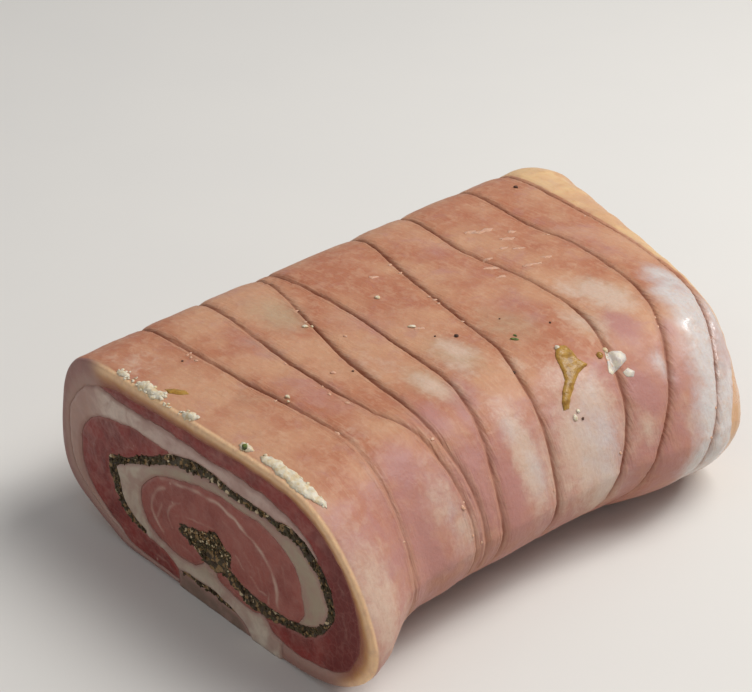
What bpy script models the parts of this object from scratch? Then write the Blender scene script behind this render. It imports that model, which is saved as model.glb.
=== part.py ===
"""Half of a pressed and tied rullepolse, a rolled pork belly with a herb filling.

The roll lies on its flat underside with the cut face toward -Y and the tied end
toward +Y. Sections are given in millimetres, x across the roll and z up from the
board, and every layer is lofted along the same slightly tucked and skewed body.
"""
import math

import bmesh
import bpy

MM = 0.001
END_Y = 162.0
END_SKEW = 0.335
SHOULDER = 23.0
SHOULDER_IN_X = 0.125
SHOULDER_IN_Z = 0.21
SHOULDER_FOOT = 8.0
LAYER_GAP = 0.30
CUTTER_OVER = 6.0
OUTER_STEP = 5.2
INNER_STEP = 4.4
GROOVE_DEPTH = 1.7
GROOVE_LIP = 2.0
FOOT_TOP = 4.5
FOOT_SHARE = 0.35
LIP_EASE = 0.2
PILLOW = 1.0
PILLOW_BAY = 18.0
FACE_ROUND = 0.8

# How far the right flank draws in under the strings, by distance from the cut.
FLANK_TUCK = ((0, 0), (7, 1.4), (16, 5.2), (25, 7.8), (42, 7.4), (62, 7.3), (80, 7.0),
              (96, 5.0), (112, 1.5), (126, 0.0), (190, 0.0))
# The same for the lower edge of that flank, which rounds up off the board.
UNDER_TUCK = ((0, 0), (6, 2.0), (16, 8.0), (26, 11.0), (60, 10.5), (100, 9.0),
              (120, 6.5), (190, 5.0))
UNDER_TOP = 26.0
TUCK_FROM_X = -5.0
TUCK_SPAN = 62.0

# Skin outline of the pressed roll at the cut, clockwise from the seam underneath.
SKIN = ((-14, 0), (-25, 0), (-36, 0), (-43.5, 2.6), (-50.5, 5.6), (-57, 9.2),
        (-61, 14), (-62.5, 20), (-62.4, 27), (-61.4, 34), (-60, 40.5), (-57.4, 46),
        (-53.4, 50), (-47.6, 52.2), (-40, 52.9), (-30, 53.1), (-15, 53.3), (0, 53.5),
        (15, 53.5), (25, 53.1), (32, 52), (38, 49.6), (43.5, 45.7), (48.5, 40.8),
        (52.8, 35), (56.2, 28.5), (58.3, 22), (58, 16), (55, 10.8), (50.5, 6.6),
        (44.5, 3.2), (37, 1), (28, 0), (14, 0))

# Inner side of the skin and back fat, cut in pieces where the layers inside change.
FAT_FOOT = ((-14.2, 1.8), (-24, 1.8), (-33, 2.4))
FAT_LEFT = ((-33, 2.4), (-38, 3.9), (-44, 6.3), (-50, 9.6), (-54.6, 13), (-57.4, 17.5),
            (-58.6, 23), (-58.4, 29), (-57, 34.5), (-54, 39.5), (-50, 43.2),
            (-44.5, 46.4))
FAT_OVER = ((-44.5, 46.4), (-38, 48), (-30, 48.7), (-18, 49.2), (-5, 49.7), (8, 50.2),
            (20, 50.4), (28, 50), (34, 48.4), (39.5, 45.4), (44, 41.6), (48, 37),
            (51, 31.8), (52.8, 26), (53, 20), (51.6, 14.5), (48, 10), (43, 7.1),
            (36.5, 5.6), (31, 5), (26, 5.2))
FAT_END = ((26, 5.2), (25.4, 0))

# Lower side of the thin lean that runs over the top, down to the filling.
LEAN_UNDER = ((-44.5, 46.4), (-38, 45.4), (-30, 45.3), (-20, 45.6), (-10, 45.4),
              (0, 44.9), (8, 45.6), (16, 45.7), (24, 44.8), (30, 43), (34.8, 40.5),
              (38, 37.6))
LEAN_TIP = ((26, 5.2), (22, 6.7), (19.2, 9.6))

# Outer side of the thick lean at the left.
SIDE_OUTER = ((-17, 39.5), (-22, 40.1), (-28, 39.9), (-36, 38.9), (-43, 37.3),
              (-48.5, 34.6), (-52, 30.8), (-53.8, 26), (-53.6, 20.5), (-51.8, 15.5),
              (-48.5, 11.3), (-44, 8), (-38.5, 5), (-33, 2.4))
SEAM_FOOT = ((-14.2, 0), (-14.2, 1.8))
SEAM_WALL = ((-14.2, 1.8), (-14.2, 3.4), (-14.6, 5.2))
SIDE_INNER = ((-14.6, 5.2), (-18, 6.9), (-22, 8.1), (-27, 9))

# Middle line and half thickness of the herb filling, from the eye of the roll out.
HERB = ((4.5, 15.0, 1.7), (8, 13.3, 1.5), (12, 12.3, 1.6), (17, 11.7, 1.7),
        (22, 11.6, 1.5), (27, 12.3, 1.2), (32, 13.5, 1.4), (36, 14.9, 1.1),
        (39, 16.9, 0.8), (41.3, 19.6, 0.8), (42.7, 23.2, 1.1), (42.6, 27, 1.2),
        (41, 31, 1.3), (38, 34.8, 1.5), (34, 37.7, 1.6), (29, 39.5, 1.5),
        (23, 39.8, 1.1), (16, 39.8, 0.9), (9, 39.9, 0.9), (3, 40.4, 1.1),
        (-3, 40.8, 1.4), (-9, 39.9, 1.5), (-15, 38.0, 1.4), (-21, 35.2, 1.2),
        (-26.5, 32.2, 1.1), (-31.5, 29.4, 0.8), (-36, 27.3, 0.9), (-40.2, 25.4, 1.2),
        (-39.4, 20.6, 1.7), (-37.8, 16.4, 1.3), (-35.3, 13, 1.0), (-31.5, 10.8, 0.8),
        (-27.6, 9.5, 0.6))
HERB_AT_LEAN = 4
HERB_AT_BAND = 13
HERB_AT_SIDE = 22

# Ragged eye of the roll, from the upper edge of the filling round to its lower edge.
EYE = ((6.6, 16.8), (6.4, 18.6), (7, 20.7), (4.4, 21.4), (2.2, 23), (0.4, 24.6),
       (-2.4, 22.8), (-5.6, 21.4), (-9, 20.9), (-12, 20.2), (-13.4, 18.2),
       (-10, 16.8), (-6.4, 15.6), (-3.6, 13.6))
EYE_FOOT = ((-3.6, 13.6), (-1.4, 12.7), (1.2, 12.7))

# Inner side of the spiral of fat, round the lean in the middle.
CORE = ((-3.6, 13.6), (-5.6, 11), (-9, 9.6), (-15, 9.3), (-21, 10.5), (-25.6, 12.9),
        (-28, 16), (-28.8, 20.2), (-27.2, 25), (-22.5, 28.9), (-16, 32.2), (-9, 34.7),
        (-1, 36.2), (8, 36.6), (17, 36.3), (24.2, 34.9), (28.8, 32), (31.6, 27.5),
        (33, 22.5), (33.4, 19), (32.7, 16.9))
TONGUE = ((1.2, 12.7), (1.8, 10.9), (5.5, 9.4), (10, 8.9), (14.6, 9), (18, 9.7))

# Second strip of filling at the seam, with the flap of belly under it.
SEAM_HERB_TOP = ((-13, 5.1), (-9, 5.7), (-4, 6), (1, 5.8), (5, 5.3), (8.4, 4.4))
SEAM_HERB_LOW = ((8.4, 4.4), (4.6, 4.2), (0, 4.6), (-5, 4.8), (-9, 4.6), (-13, 5.1))
FLAP_TOP = ((-14.6, 5.2), (-13, 5.1))
FLAP_NOSE = ((8.4, 4.4), (11.4, 2.8), (13.8, 0))

# Distance of each string mark from the cut, by place round the skin in millimetres
# from the seam: foot, left, upper left, middle, upper right, right, low right, foot.
STRING_PLACES = (14, 62, 97, 120, 142, 165, 179, 200, 219, 245)
STRINGS = ((20, 21, 21, 21, 22, 23, 22, 21, 19, 18),
           (41, 42, 40, 37, 35, 35.5, 39, 41.6, 41.6, 40),
           (60, 61, 59.5, 53, 47, 44, 43, 45.2, 45.2, 44),
           (66, 65, 64.5, 64.5, 62, 59.5, 56.5, 52.5, 51, 50),
           (94, 96, 95, 89, 84, 79.5, 75, 72.5, 70, 69),
           (111, 115, 114, 110.5, 111.5, 109, 104, 99, 91, 88),
           (135, 140, 139, 136, 136, 131, 124, 113, 102, 100),
           (151, 157, 156, 154.5, 153, 149, 143, 132, 122, 119))

# Rows of skin between the last string mark and the end, and how far they swell.
END_ROWS = ((0.35, 0.4), (0.62, 0.5), (0.82, 0.2), (0.94, -0.3), (1.0, -1.2))

# Sections along the inner layers, as shares of the length.
STATIONS = (0.0, 0.07, 0.17, 0.60, 0.90, 0.965, 1.0)

# How far each layer stands out at the cut and at the tied end.
PROUD = {"skin_and_back_fat": (0.0, 0.0), "fat_band": (0.25, 0.5),
         "lean_over": (0.1, 1.2), "lean_side": (0.0, 1.5), "herb_filling": (-0.5, -0.6),
         "fat_spiral": (0.25, 0.9), "lean_core": (0.15, 1.8), "lean_tongue": (0.0, 1.4),
         "seam_herbs": (-0.4, -0.5), "seam_flap": (0.0, 0.8)}

COLOURS = {"skin_and_back_fat": (0.62, 0.36, 0.22), "fat_band": (0.78, 0.72, 0.64),
           "lean_over": (0.46, 0.16, 0.15), "lean_side": (0.46, 0.15, 0.15),
           "herb_filling": (0.07, 0.09, 0.04), "fat_spiral": (0.78, 0.73, 0.66),
           "lean_core": (0.50, 0.19, 0.18), "lean_tongue": (0.47, 0.20, 0.18),
           "seam_herbs": (0.10, 0.11, 0.05), "seam_flap": (0.48, 0.36, 0.31)}


def curve_point(a, b, c, d, t):
    """One value on the smooth curve from b to c."""
    square = t * t
    cube = square * t
    return 0.5 * (2 * b + (c - a) * t + (2 * a - 5 * b + 4 * c - d) * square
                  + (3 * b - a - 3 * c + d) * cube)


def smooth(points, step):
    """Run a smooth open curve through the points, about one step between vertices."""
    last = len(points) - 1
    out = []
    for i in range(last):
        a = points[max(i - 1, 0)]
        b = points[i]
        c = points[i + 1]
        d = points[min(i + 2, last)]
        parts = max(1, round(math.dist(b[:2], c[:2]) / step))
        for k in range(parts):
            t = k / parts
            out.append(tuple(curve_point(a[j], b[j], c[j], d[j], t) for j in range(len(b))))
    out.append(tuple(points[last]))
    return out


def table_value(table, at):
    """Straight interpolation in a table of pairs."""
    for (x0, v0), (x1, v1) in zip(table, table[1:]):
        if at <= x1:
            return v0 + (v1 - v0) * max(at - x0, 0) / (x1 - x0)
    return table[-1][1]


def herb_edges():
    """Both long edges of the filling, from its middle line and half thickness."""
    left = []
    right = []
    last = len(HERB) - 1
    for i, (x, z, half) in enumerate(HERB):
        before = HERB[max(i - 1, 0)]
        after = HERB[min(i + 1, last)]
        d0 = unit(x - before[0], z - before[1]) if i else None
        d1 = unit(after[0] - x, after[1] - z) if i < last else None
        d0 = d0 or d1
        d1 = d1 or d0
        nx, nz = unit(-(d0[1] + d1[1]), d0[0] + d1[0])
        reach = half / max(0.55, nx * -d1[1] + nz * d1[0])
        left.append((x + nx * reach, z + nz * reach))
        right.append((x - nx * reach, z - nz * reach))
    return left, right


def unit(x, z):
    """Direction of unit length."""
    length = math.hypot(x, z)
    return x / length, z / length


def inset(loop, amount):
    """Move a closed loop inward by the amount, whichever way round it runs."""
    area = sum(a[0] * b[1] - b[0] * a[1] for a, b in zip(loop, loop[1:] + loop[:1]))
    side = 1 if area > 0 else -1
    out = []
    count = len(loop)
    for i, (x, z) in enumerate(loop):
        ax, az = loop[i - 1]
        bx, bz = loop[(i + 1) % count]
        d0 = unit(x - ax, z - az)
        d1 = unit(bx - x, bz - z)
        mx, mz = -(d0[1] + d1[1]), d0[0] + d1[0]
        if math.hypot(mx, mz) < 0.2:
            out.append((x - d0[0] * amount * 2.2, z - d0[1] * amount * 2.2))
            continue
        nx, nz = unit(mx, mz)
        reach = side * amount / max(0.4, nx * -d1[1] + nz * d1[0])
        out.append((x + nx * reach, z + nz * reach))
    return out


def chain(pieces, step):
    """Join smooth curves end to end into one closed loop."""
    loop = []
    for piece in pieces:
        for point in smooth(piece, step):
            if not loop or math.dist(point[:2], loop[-1]) > 0.2:
                loop.append(tuple(point[:2]))
    while math.dist(loop[0], loop[-1]) < 0.2:
        loop.pop()
    return loop


def back(points):
    """The same curve run the other way."""
    return tuple(reversed(points))


def end_at(x):
    """Distance from the cut to the skewed far end."""
    return END_Y - END_SKEW * x


def place(x, z, y):
    """Draw in the flank and round the far shoulder; returns metres."""
    share = min(max((x - TUCK_FROM_X) / TUCK_SPAN, 0.0), 1.0) ** 1.5
    reach = max(0.0, 1.0 - (end_at(x) - y) / SHOULDER)
    round_in = 1.0 - math.sqrt(max(0.0, 1.0 - min(reach, 1.0) ** 2))
    under = table_value(UNDER_TUCK, y) * max(0.0, 1.0 - z / UNDER_TOP)
    new_x = x - (table_value(FLANK_TUCK, y) + under) * share
    new_x *= 1.0 - SHOULDER_IN_X * round_in
    new_z = SHOULDER_FOOT + (z - SHOULDER_FOOT) * (1.0 - SHOULDER_IN_Z * round_in)
    if z < SHOULDER_FOOT:
        new_z = z + 0.25 * (SHOULDER_FOOT - z) * round_in
    return new_x * MM, y * MM, new_z * MM


def fill(bm, rings):
    """Skin a run of closed rings and cap both ends."""
    for low, high in zip(rings, rings[1:]):
        count = len(low)
        for i in range(count):
            j = (i + 1) % count
            bm.faces.new((low[i], low[j], high[j], high[i]))
    bm.faces.new(rings[0])
    bm.faces.new(rings[-1])
    bmesh.ops.recalc_face_normals(bm, faces=bm.faces[:])
    bm.normal_update()
    bmesh.ops.triangulate(bm, faces=bm.faces[:])


def stand_out(rings, amount, way):
    """Carry the first ring out past the end by the amount, or draw it back inside."""
    first, second = rings[:2]
    if amount > 0:
        return [[(x, y + way * amount * MM, z) for x, y, z in first]] + rings
    if amount < 0:
        moved = []
        for a, b in zip(first, second):
            t = -amount * MM / abs(b[1] - a[1])
            moved.append(tuple(a[j] + (b[j] - a[j]) * t for j in range(3)))
        return [moved] + rings[1:]
    return rings


def layer_mesh(name, loop, out_near, out_far):
    """Loft one layer from the cut to the far end."""
    rings = [[place(x, z, share * end_at(x)) for x, z in loop] for share in STATIONS]
    rings = stand_out(rings, out_near, -1)
    rings = stand_out(rings[::-1], out_far, 1)
    bm = bmesh.new()
    fill(bm, [[bm.verts.new(point) for point in ring] for ring in rings])
    return finish_mesh(bm, name)


def finish_mesh(bm, name):
    """Turn the working mesh into mesh data with smooth shading."""
    mesh = bpy.data.meshes.new(name)
    bm.to_mesh(mesh)
    bm.free()
    mesh.polygons.foreach_set("use_smooth", [True] * len(mesh.polygons))
    mesh.set_sharp_from_angle(angle=math.radians(40))
    return mesh


def skin_columns():
    """Points round the skin with their outward direction and place from the seam."""
    loop = smooth(SKIN + (SKIN[0],), OUTER_STEP)[:-1]
    count = len(loop)
    columns = []
    run = 0.0
    for i, (x, z) in enumerate(loop):
        if i:
            run += math.dist(loop[i - 1], (x, z))
        ax, az = loop[i - 1]
        bx, bz = loop[(i + 1) % count]
        nx, nz = unit(-(bz - az), bx - ax)
        columns.append((x, z, nx, nz, run))
    return columns, run + math.dist(loop[-1], loop[0])


def string_at(string, place_round, total):
    """Distance of one string mark from the cut at a place round the skin."""
    knots = [(p, v) for p, v in zip(STRING_PLACES, string)]
    knots = [(p - total, v) for p, v in knots] + knots + [(p + total, v) for p, v in knots]
    for i in range(1, len(knots) - 2):
        if knots[i][0] <= place_round <= knots[i + 1][0]:
            t = (place_round - knots[i][0]) / (knots[i + 1][0] - knots[i][0])
            return curve_point(knots[i - 1][1], knots[i][1], knots[i + 1][1],
                               knots[i + 2][1], t)
    return knots[-1][1]


def column_rows(column, total):
    """Rows of one column of the skin: distance from the cut and push outward."""
    x, z, nx, nz, run = column
    marks = [string_at(string, run, total) for string in STRINGS]
    on_foot = z < FOOT_TOP
    depth = GROOVE_DEPTH * (FOOT_SHARE if on_foot else 1.0)
    ease = 0.0 if on_foot else LIP_EASE
    rows = [(0.0, -FACE_ROUND), (1.2, 0.0), (marks[0] * 0.55, 0.0),
            (marks[0] - GROOVE_LIP, -ease)]
    for near, far in zip(marks, marks[1:]):
        bay = far - near
        lip = min(GROOVE_LIP, 0.3 * bay)
        level = max(PILLOW * min(1.0, (bay - 4.0) / PILLOW_BAY), -0.7)
        edge = min(level, 0.0) - ease
        rows += [(near, -depth), (near + lip, edge), (near + 0.5 * bay, level),
                 (far - lip, edge)]
    start = marks[-1] + GROOVE_LIP
    rows += [(marks[-1], -depth), (start, -ease)]
    for share, push in END_ROWS:
        rows.append((start + (end_at(x) - start) * share, push))
    return rows


def body_mesh():
    """The whole roll as one solid with its string marks and pillows of skin."""
    bm = bmesh.new()
    columns, total = skin_columns()
    table = [column_rows(column, total) for column in columns]
    rings = []
    for k in range(len(table[0])):
        ring = []
        for column, rows in zip(columns, table):
            x, z, nx, nz, run = column
            y, push = rows[k]
            px, py, pz = place(x, z, y)
            px += nx * push * MM
            pz = max(pz + nz * push * MM, 0.0)
            ring.append(bm.verts.new((px, py, pz)))
        rings.append(ring)
    fill(bm, rings)
    return finish_mesh(bm, "skin_and_back_fat")


def outlines():
    """Closed outline of every layer inside the skin, before the gaps are taken off."""
    inner, outer = herb_edges()
    band = HERB_AT_BAND
    side = HERB_AT_SIDE
    tail = tuple(outer[side:]) + (SIDE_INNER[-1],)
    return {
        "fat_band": (FAT_LEFT, LEAN_UNDER, outer[band:side + 1], SIDE_OUTER),
        "lean_over": (FAT_OVER, LEAN_TIP, outer[HERB_AT_LEAN:band + 1], back(LEAN_UNDER)),
        "lean_side": (SIDE_OUTER, back(FAT_FOOT), SEAM_WALL, SIDE_INNER, back(tail)),
        "herb_filling": (EYE, EYE_FOOT, outer, back(inner)),
        "fat_spiral": (inner[6:], SIDE_INNER[::-1], FLAP_TOP, SEAM_HERB_TOP, FLAP_NOSE,
                       back(FAT_END), LEAN_TIP, back(TONGUE), back(EYE_FOOT), CORE),
        "lean_core": (CORE, back(inner[:7]), EYE),
        "lean_tongue": (TONGUE, back(outer[:4])),
        "seam_herbs": (SEAM_HERB_TOP, SEAM_HERB_LOW),
        "seam_flap": (SEAM_FOOT, SEAM_WALL, FLAP_TOP, back(SEAM_HERB_LOW), FLAP_NOSE),
    }


def layer_loops():
    """Closed loops of the inner layers with half a gap taken off all round."""
    loops = {}
    for name, pieces in outlines().items():
        loops[name] = inset(chain(pieces, INNER_STEP), LAYER_GAP / 2)
    return loops


def hollow_loop():
    """Outline of all that the skin and back fat wrap, open at the seam underneath."""
    below = ((25.4, -6), (-14.2, -6))
    pieces = (FAT_FOOT, FAT_LEFT, FAT_OVER, FAT_END, below)
    return inset(chain(pieces, INNER_STEP), -LAYER_GAP / 2)


def flesh(name):
    """Plain Principled material of one layer."""
    material = bpy.data.materials.new(name)
    material.use_nodes = True
    shader = material.node_tree.nodes["Principled BSDF"]
    shader.inputs["Base Color"].default_value = COLOURS[name] + (1.0,)
    shader.inputs["Roughness"].default_value = 0.45
    material.diffuse_color = COLOURS[name] + (1.0,)
    return material


def add_object(name, mesh, collection):
    """Link one named object."""
    thing = bpy.data.objects.new(name, mesh)
    collection.objects.link(thing)
    return thing


def centre(meshes):
    """Put the middle of the footprint at the origin."""
    points = [v.co for mesh in meshes for v in mesh.vertices]
    mid_x = (min(p.x for p in points) + max(p.x for p in points)) / 2
    mid_y = (min(p.y for p in points) + max(p.y for p in points)) / 2
    return mid_x, mid_y


def build():
    """Make every layer of the roll."""
    for old in list(bpy.data.objects):
        bpy.data.objects.remove(old, do_unlink=True)
    roll = bpy.data.collections.new("rullepolse")
    cutters = bpy.data.collections.new("cutters")
    bpy.context.scene.collection.children.link(roll)
    bpy.context.scene.collection.children.link(cutters)

    meshes = {"skin_and_back_fat": body_mesh()}
    for name, loop in layer_loops().items():
        near, far = PROUD[name]
        meshes[name] = layer_mesh(name, loop, near, far)
    hollow = layer_mesh("hollow", hollow_loop(), CUTTER_OVER, CUTTER_OVER)
    mid_x, mid_y = centre(list(meshes.values()))
    for mesh in list(meshes.values()) + [hollow]:
        for vertex in mesh.vertices:
            vertex.co.x -= mid_x
            vertex.co.y -= mid_y

    cutter = add_object("hollow", hollow, cutters)
    cutter.hide_render = True
    cutter.display_type = "WIRE"
    for name, mesh in meshes.items():
        thing = add_object(name, mesh, roll)
        mesh.materials.append(flesh(name))
    wrap = bpy.data.objects["skin_and_back_fat"]
    cut = wrap.modifiers.new("hollow", "BOOLEAN")
    cut.operation = "DIFFERENCE"
    cut.solver = "EXACT"
    cut.object = cutter


build()
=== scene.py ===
"""Looks of half a pressed and tied rullepolse: rind, back fat, lean, fat spiral, herb
filling and the crumbs that the knife left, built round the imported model.

Sections are in millimetres, x across the roll and z up from the floor, with y running
from the cut to the tied end; row_point() turns them into the row frame in metres.
"""
import math
import random

import bmesh
import bpy
from mathutils import Euler, Matrix, Vector, noise
from mathutils.kdtree import KDTree


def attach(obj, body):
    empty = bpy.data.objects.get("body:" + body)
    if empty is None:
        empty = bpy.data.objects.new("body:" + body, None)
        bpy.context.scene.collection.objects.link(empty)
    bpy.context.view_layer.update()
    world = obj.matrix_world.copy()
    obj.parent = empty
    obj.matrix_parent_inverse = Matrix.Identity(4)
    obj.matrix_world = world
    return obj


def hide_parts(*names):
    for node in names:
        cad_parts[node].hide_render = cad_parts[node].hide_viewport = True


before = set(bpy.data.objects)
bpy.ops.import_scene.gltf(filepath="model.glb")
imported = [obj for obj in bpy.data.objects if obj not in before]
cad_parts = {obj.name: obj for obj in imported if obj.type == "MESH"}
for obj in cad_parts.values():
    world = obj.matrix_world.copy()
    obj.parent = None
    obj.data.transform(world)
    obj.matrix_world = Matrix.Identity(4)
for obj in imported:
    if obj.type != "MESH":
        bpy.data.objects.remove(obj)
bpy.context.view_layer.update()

bl_info = {
    "name": "Rullepolse looks",
    "version": (1, 0, 0),
    "blender": (4, 5, 0),
    "location": "View3D > Sidebar > Rullepolse",
    "description": "Dresses the cut half of a tied rullepolse",
    "category": "Object",
}

MM = 0.001
MID_X = -1.6036
MID_Y = 91.3438
FLAT = (0.0, 0.0, 0.0)

# The tied body: skewed far end, rounded shoulder and the flank drawn in by the strings.
END_Y = 162.0
END_SKEW = 0.335
SHOULDER = 23.0
SHOULDER_IN_X = 0.125
SHOULDER_IN_Z = 0.21
SHOULDER_FOOT = 8.0
FLANK_TUCK = ((0, 0), (7, 1.4), (16, 5.2), (25, 7.8), (42, 7.4), (62, 7.3), (80, 7.0),
              (96, 5.0), (112, 1.5), (126, 0.0), (190, 0.0))
UNDER_TUCK = ((0, 0), (6, 2.0), (16, 8.0), (26, 11.0), (60, 10.5), (100, 9.0),
              (120, 6.5), (190, 5.0))
UNDER_TOP = 26.0
TUCK_FROM_X = -5.0
TUCK_SPAN = 62.0
TUCK_CURVE = 1.5

# Skin outline of the pressed roll at the cut, clockwise from the seam underneath.
SKIN = ((-14, 0), (-25, 0), (-36, 0), (-43.5, 2.6), (-50.5, 5.6), (-57, 9.2),
        (-61, 14), (-62.5, 20), (-62.4, 27), (-61.4, 34), (-60, 40.5), (-57.4, 46),
        (-53.4, 50), (-47.6, 52.2), (-40, 52.9), (-30, 53.1), (-15, 53.3), (0, 53.5),
        (15, 53.5), (25, 53.1), (32, 52), (38, 49.6), (43.5, 45.7), (48.5, 40.8),
        (52.8, 35), (56.2, 28.5), (58.3, 22), (58, 16), (55, 10.8), (50.5, 6.6),
        (44.5, 3.2), (37, 1), (28, 0), (14, 0))
SEAM_LEFT = -14.3
SEAM_RIGHT = 25.5

# Wander of the layers in the section: how far and how wide, coarse and fine.
WANDER = 0.62
WANDER_CELL = 7.0
FINE_WANDER = 0.30
FINE_CELL = 2.6

# Cells that the faces of the layers are cut into, and how near a corner a cut snaps to it.
MEAT_CELL = 0.5
HERB_CELL = 0.4
SNAP = 0.02

# Rows of the skin mesh at the cut and on either side of a string mark, how far those reach,
# and how many parts the first, the middle and the last bay have between them.
CUT_ROWS = (0.0, 0.12, 0.35, 0.7, 1.2, 1.9)
MARK_ROWS = (0.08, 0.17, 0.27, 0.4, 0.6, 0.8, 1.0)
MARK_REACH = 2.4
BAY_PARTS = (11, 8, 16)

# Places round the skin where something of the flank starts and is full: its larger swell,
# the fading of the string marks, the tan of the tied end and where that reaches further.
FLANK = (160, 190)
FADE_FLANK = (148, 174)
TIED_FLANK = (152, 176)
LOW_FLANK = (196, 214)
TIED_TAN = 4.5
TIED_TAN_LOW = 7.0

# Heights over which the relief of the rind comes in above the floor, and how much of it
# is pressed flat below them.
FOOT_HEIGHTS = (3.5, 7.0)
FOOT_HOLD = 0.65

# A bay between two strings swells if it is wider than the least, and fully at that much
# more; a narrow one sinks no further than the last value.
BAY_LEAST = 4.0
BAY_SPAN = 18.0
BAY_SINK = -0.7

# Relief of the rind in millimetres: swell of the first bay, folds of the tied end, waves
# (height, width and turn of the noise), puckers beside the strings and lumps of fat.
FIRST_SWELL = 0.15
END_FOLD = 0.55
RIND_WAVES = ((0.34, 15.0, 3.1), (0.17, 5.5, 7.7), (0.08, 2.2, 1.3))
PUCKER = 0.22
FAT_LUMP = 0.6

# Pink of the lower flank, and the part of the cut rim that is tan instead of rose.
PINK_FLANK = (172, 196)
LOW_PINK = 0.55
TAN_FROM = (92, 106)
TAN_TO = (228, 246)
TAN_FADE = 0.85

# The knife's edge of the rind: how far along and how deep it is rounded. The cut rim: its
# rings, how far it is crowned and worn, and the lumps of the wear (height, width and turn
# of the noise). The inner wall: how often it is evened and how far it clears the layers.
EDGE_REACH = 1.9
EDGE_DROP = 1.05
RIM_RINGS = 7
RIM_CROWN = 0.22
RIM_WEAR = 0.35
RIM_LUMPS = ((0.5, 2.4, 2.2), (0.3, 0.9, 6.2))
WALL_PASSES = 6
WALL_GAP = 0.25

# Inner side of the skin and back fat.
FAT_FOOT = ((-14.2, 1.8), (-24, 1.8), (-33, 2.4))
FAT_LEFT = ((-33, 2.4), (-38, 3.9), (-44, 6.3), (-50, 9.6), (-54.6, 13), (-57.4, 17.5),
            (-58.6, 23), (-58.4, 29), (-57, 34.5), (-54, 39.5), (-50, 43.2),
            (-44.5, 46.4))
FAT_OVER = ((-44.5, 46.4), (-38, 48), (-30, 48.7), (-18, 49.2), (-5, 49.7), (8, 50.2),
            (20, 50.4), (28, 50), (34, 48.4), (39.5, 45.4), (44, 41.6), (48, 37),
            (51, 31.8), (52.8, 26), (53, 20), (51.6, 14.5), (48, 10), (43, 7.1),
            (36.5, 5.6), (31, 5), (26, 5.2))
FAT_END = ((26, 5.2), (25.4, 0))
LEAN_UNDER = ((-44.5, 46.4), (-38, 45.4), (-30, 45.3), (-20, 45.6), (-10, 45.4),
              (0, 44.9), (8, 45.6), (16, 45.7), (24, 44.8), (30, 43), (34.8, 40.5),
              (38, 37.6))
LEAN_TIP = ((26, 5.2), (22, 6.7), (19.2, 9.6))
SIDE_OUTER = ((-17, 39.5), (-22, 40.1), (-28, 39.9), (-36, 38.9), (-43, 37.3),
              (-48.5, 34.6), (-52, 30.8), (-53.8, 26), (-53.6, 20.5), (-51.8, 15.5),
              (-48.5, 11.3), (-44, 8), (-38.5, 5), (-33, 2.4))
SEAM_FOOT = ((-14.2, 0), (-14.2, 1.8))
SEAM_WALL = ((-14.2, 1.8), (-14.2, 3.4), (-14.6, 5.2))
SIDE_INNER = ((-14.6, 5.2), (-18, 6.9), (-22, 8.1), (-27, 9))

# Middle line and half thickness of the herb filling, from the eye of the roll out.
HERB = ((4.5, 15.0, 1.7), (8, 13.3, 1.5), (12, 12.3, 1.6), (17, 11.7, 1.7),
        (22, 11.6, 1.5), (27, 12.3, 1.2), (32, 13.5, 1.4), (36, 14.9, 1.1),
        (39, 16.9, 0.8), (41.3, 19.6, 0.8), (42.7, 23.2, 1.1), (42.6, 27, 1.2),
        (41, 31, 1.3), (38, 34.8, 1.5), (34, 37.7, 1.6), (29, 39.5, 1.5),
        (23, 39.8, 1.1), (16, 39.8, 0.9), (9, 39.9, 0.9), (3, 40.4, 1.1),
        (-3, 40.8, 1.4), (-9, 39.9, 1.5), (-15, 38.0, 1.4), (-21, 35.2, 1.2),
        (-26.5, 32.2, 1.1), (-31.5, 29.4, 0.8), (-36, 27.3, 0.9), (-40.2, 25.4, 1.2),
        (-39.4, 20.6, 1.7), (-37.8, 16.4, 1.3), (-35.3, 13, 1.0), (-31.5, 10.8, 0.8),
        (-27.6, 9.5, 0.6))
HERB_AT_LEAN = 4
HERB_AT_BAND = 13
HERB_AT_SIDE = 22
EYE = ((6.6, 16.8), (6.4, 18.6), (7, 20.7), (4.4, 21.4), (2.2, 23), (0.4, 24.6),
       (-2.4, 22.8), (-5.6, 21.4), (-9, 20.9), (-12, 20.2), (-13.4, 18.2),
       (-10, 16.8), (-6.4, 15.6), (-3.6, 13.6))
EYE_FOOT = ((-3.6, 13.6), (-1.4, 12.7), (1.2, 12.7))
CORE = ((-3.6, 13.6), (-5.6, 11), (-9, 9.6), (-15, 9.3), (-21, 10.5), (-25.6, 12.9),
        (-28, 16), (-28.8, 20.2), (-27.2, 25), (-22.5, 28.9), (-16, 32.2), (-9, 34.7),
        (-1, 36.2), (8, 36.6), (17, 36.3), (24.2, 34.9), (28.8, 32), (31.6, 27.5),
        (33, 22.5), (33.4, 19), (32.7, 16.9))
TONGUE = ((1.2, 12.7), (1.8, 10.9), (5.5, 9.4), (10, 8.9), (14.6, 9), (18, 9.7))
SEAM_HERB_TOP = ((-13, 5.1), (-9, 5.7), (-4, 6), (1, 5.8), (5, 5.3), (8.4, 4.4))
SEAM_HERB_LOW = ((8.4, 4.4), (4.6, 4.2), (0, 4.6), (-5, 4.8), (-9, 4.6), (-13, 5.1))
FLAP_TOP = ((-14.6, 5.2), (-13, 5.1))
FLAP_NOSE = ((8.4, 4.4), (11.4, 2.8), (13.8, 0))

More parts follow.
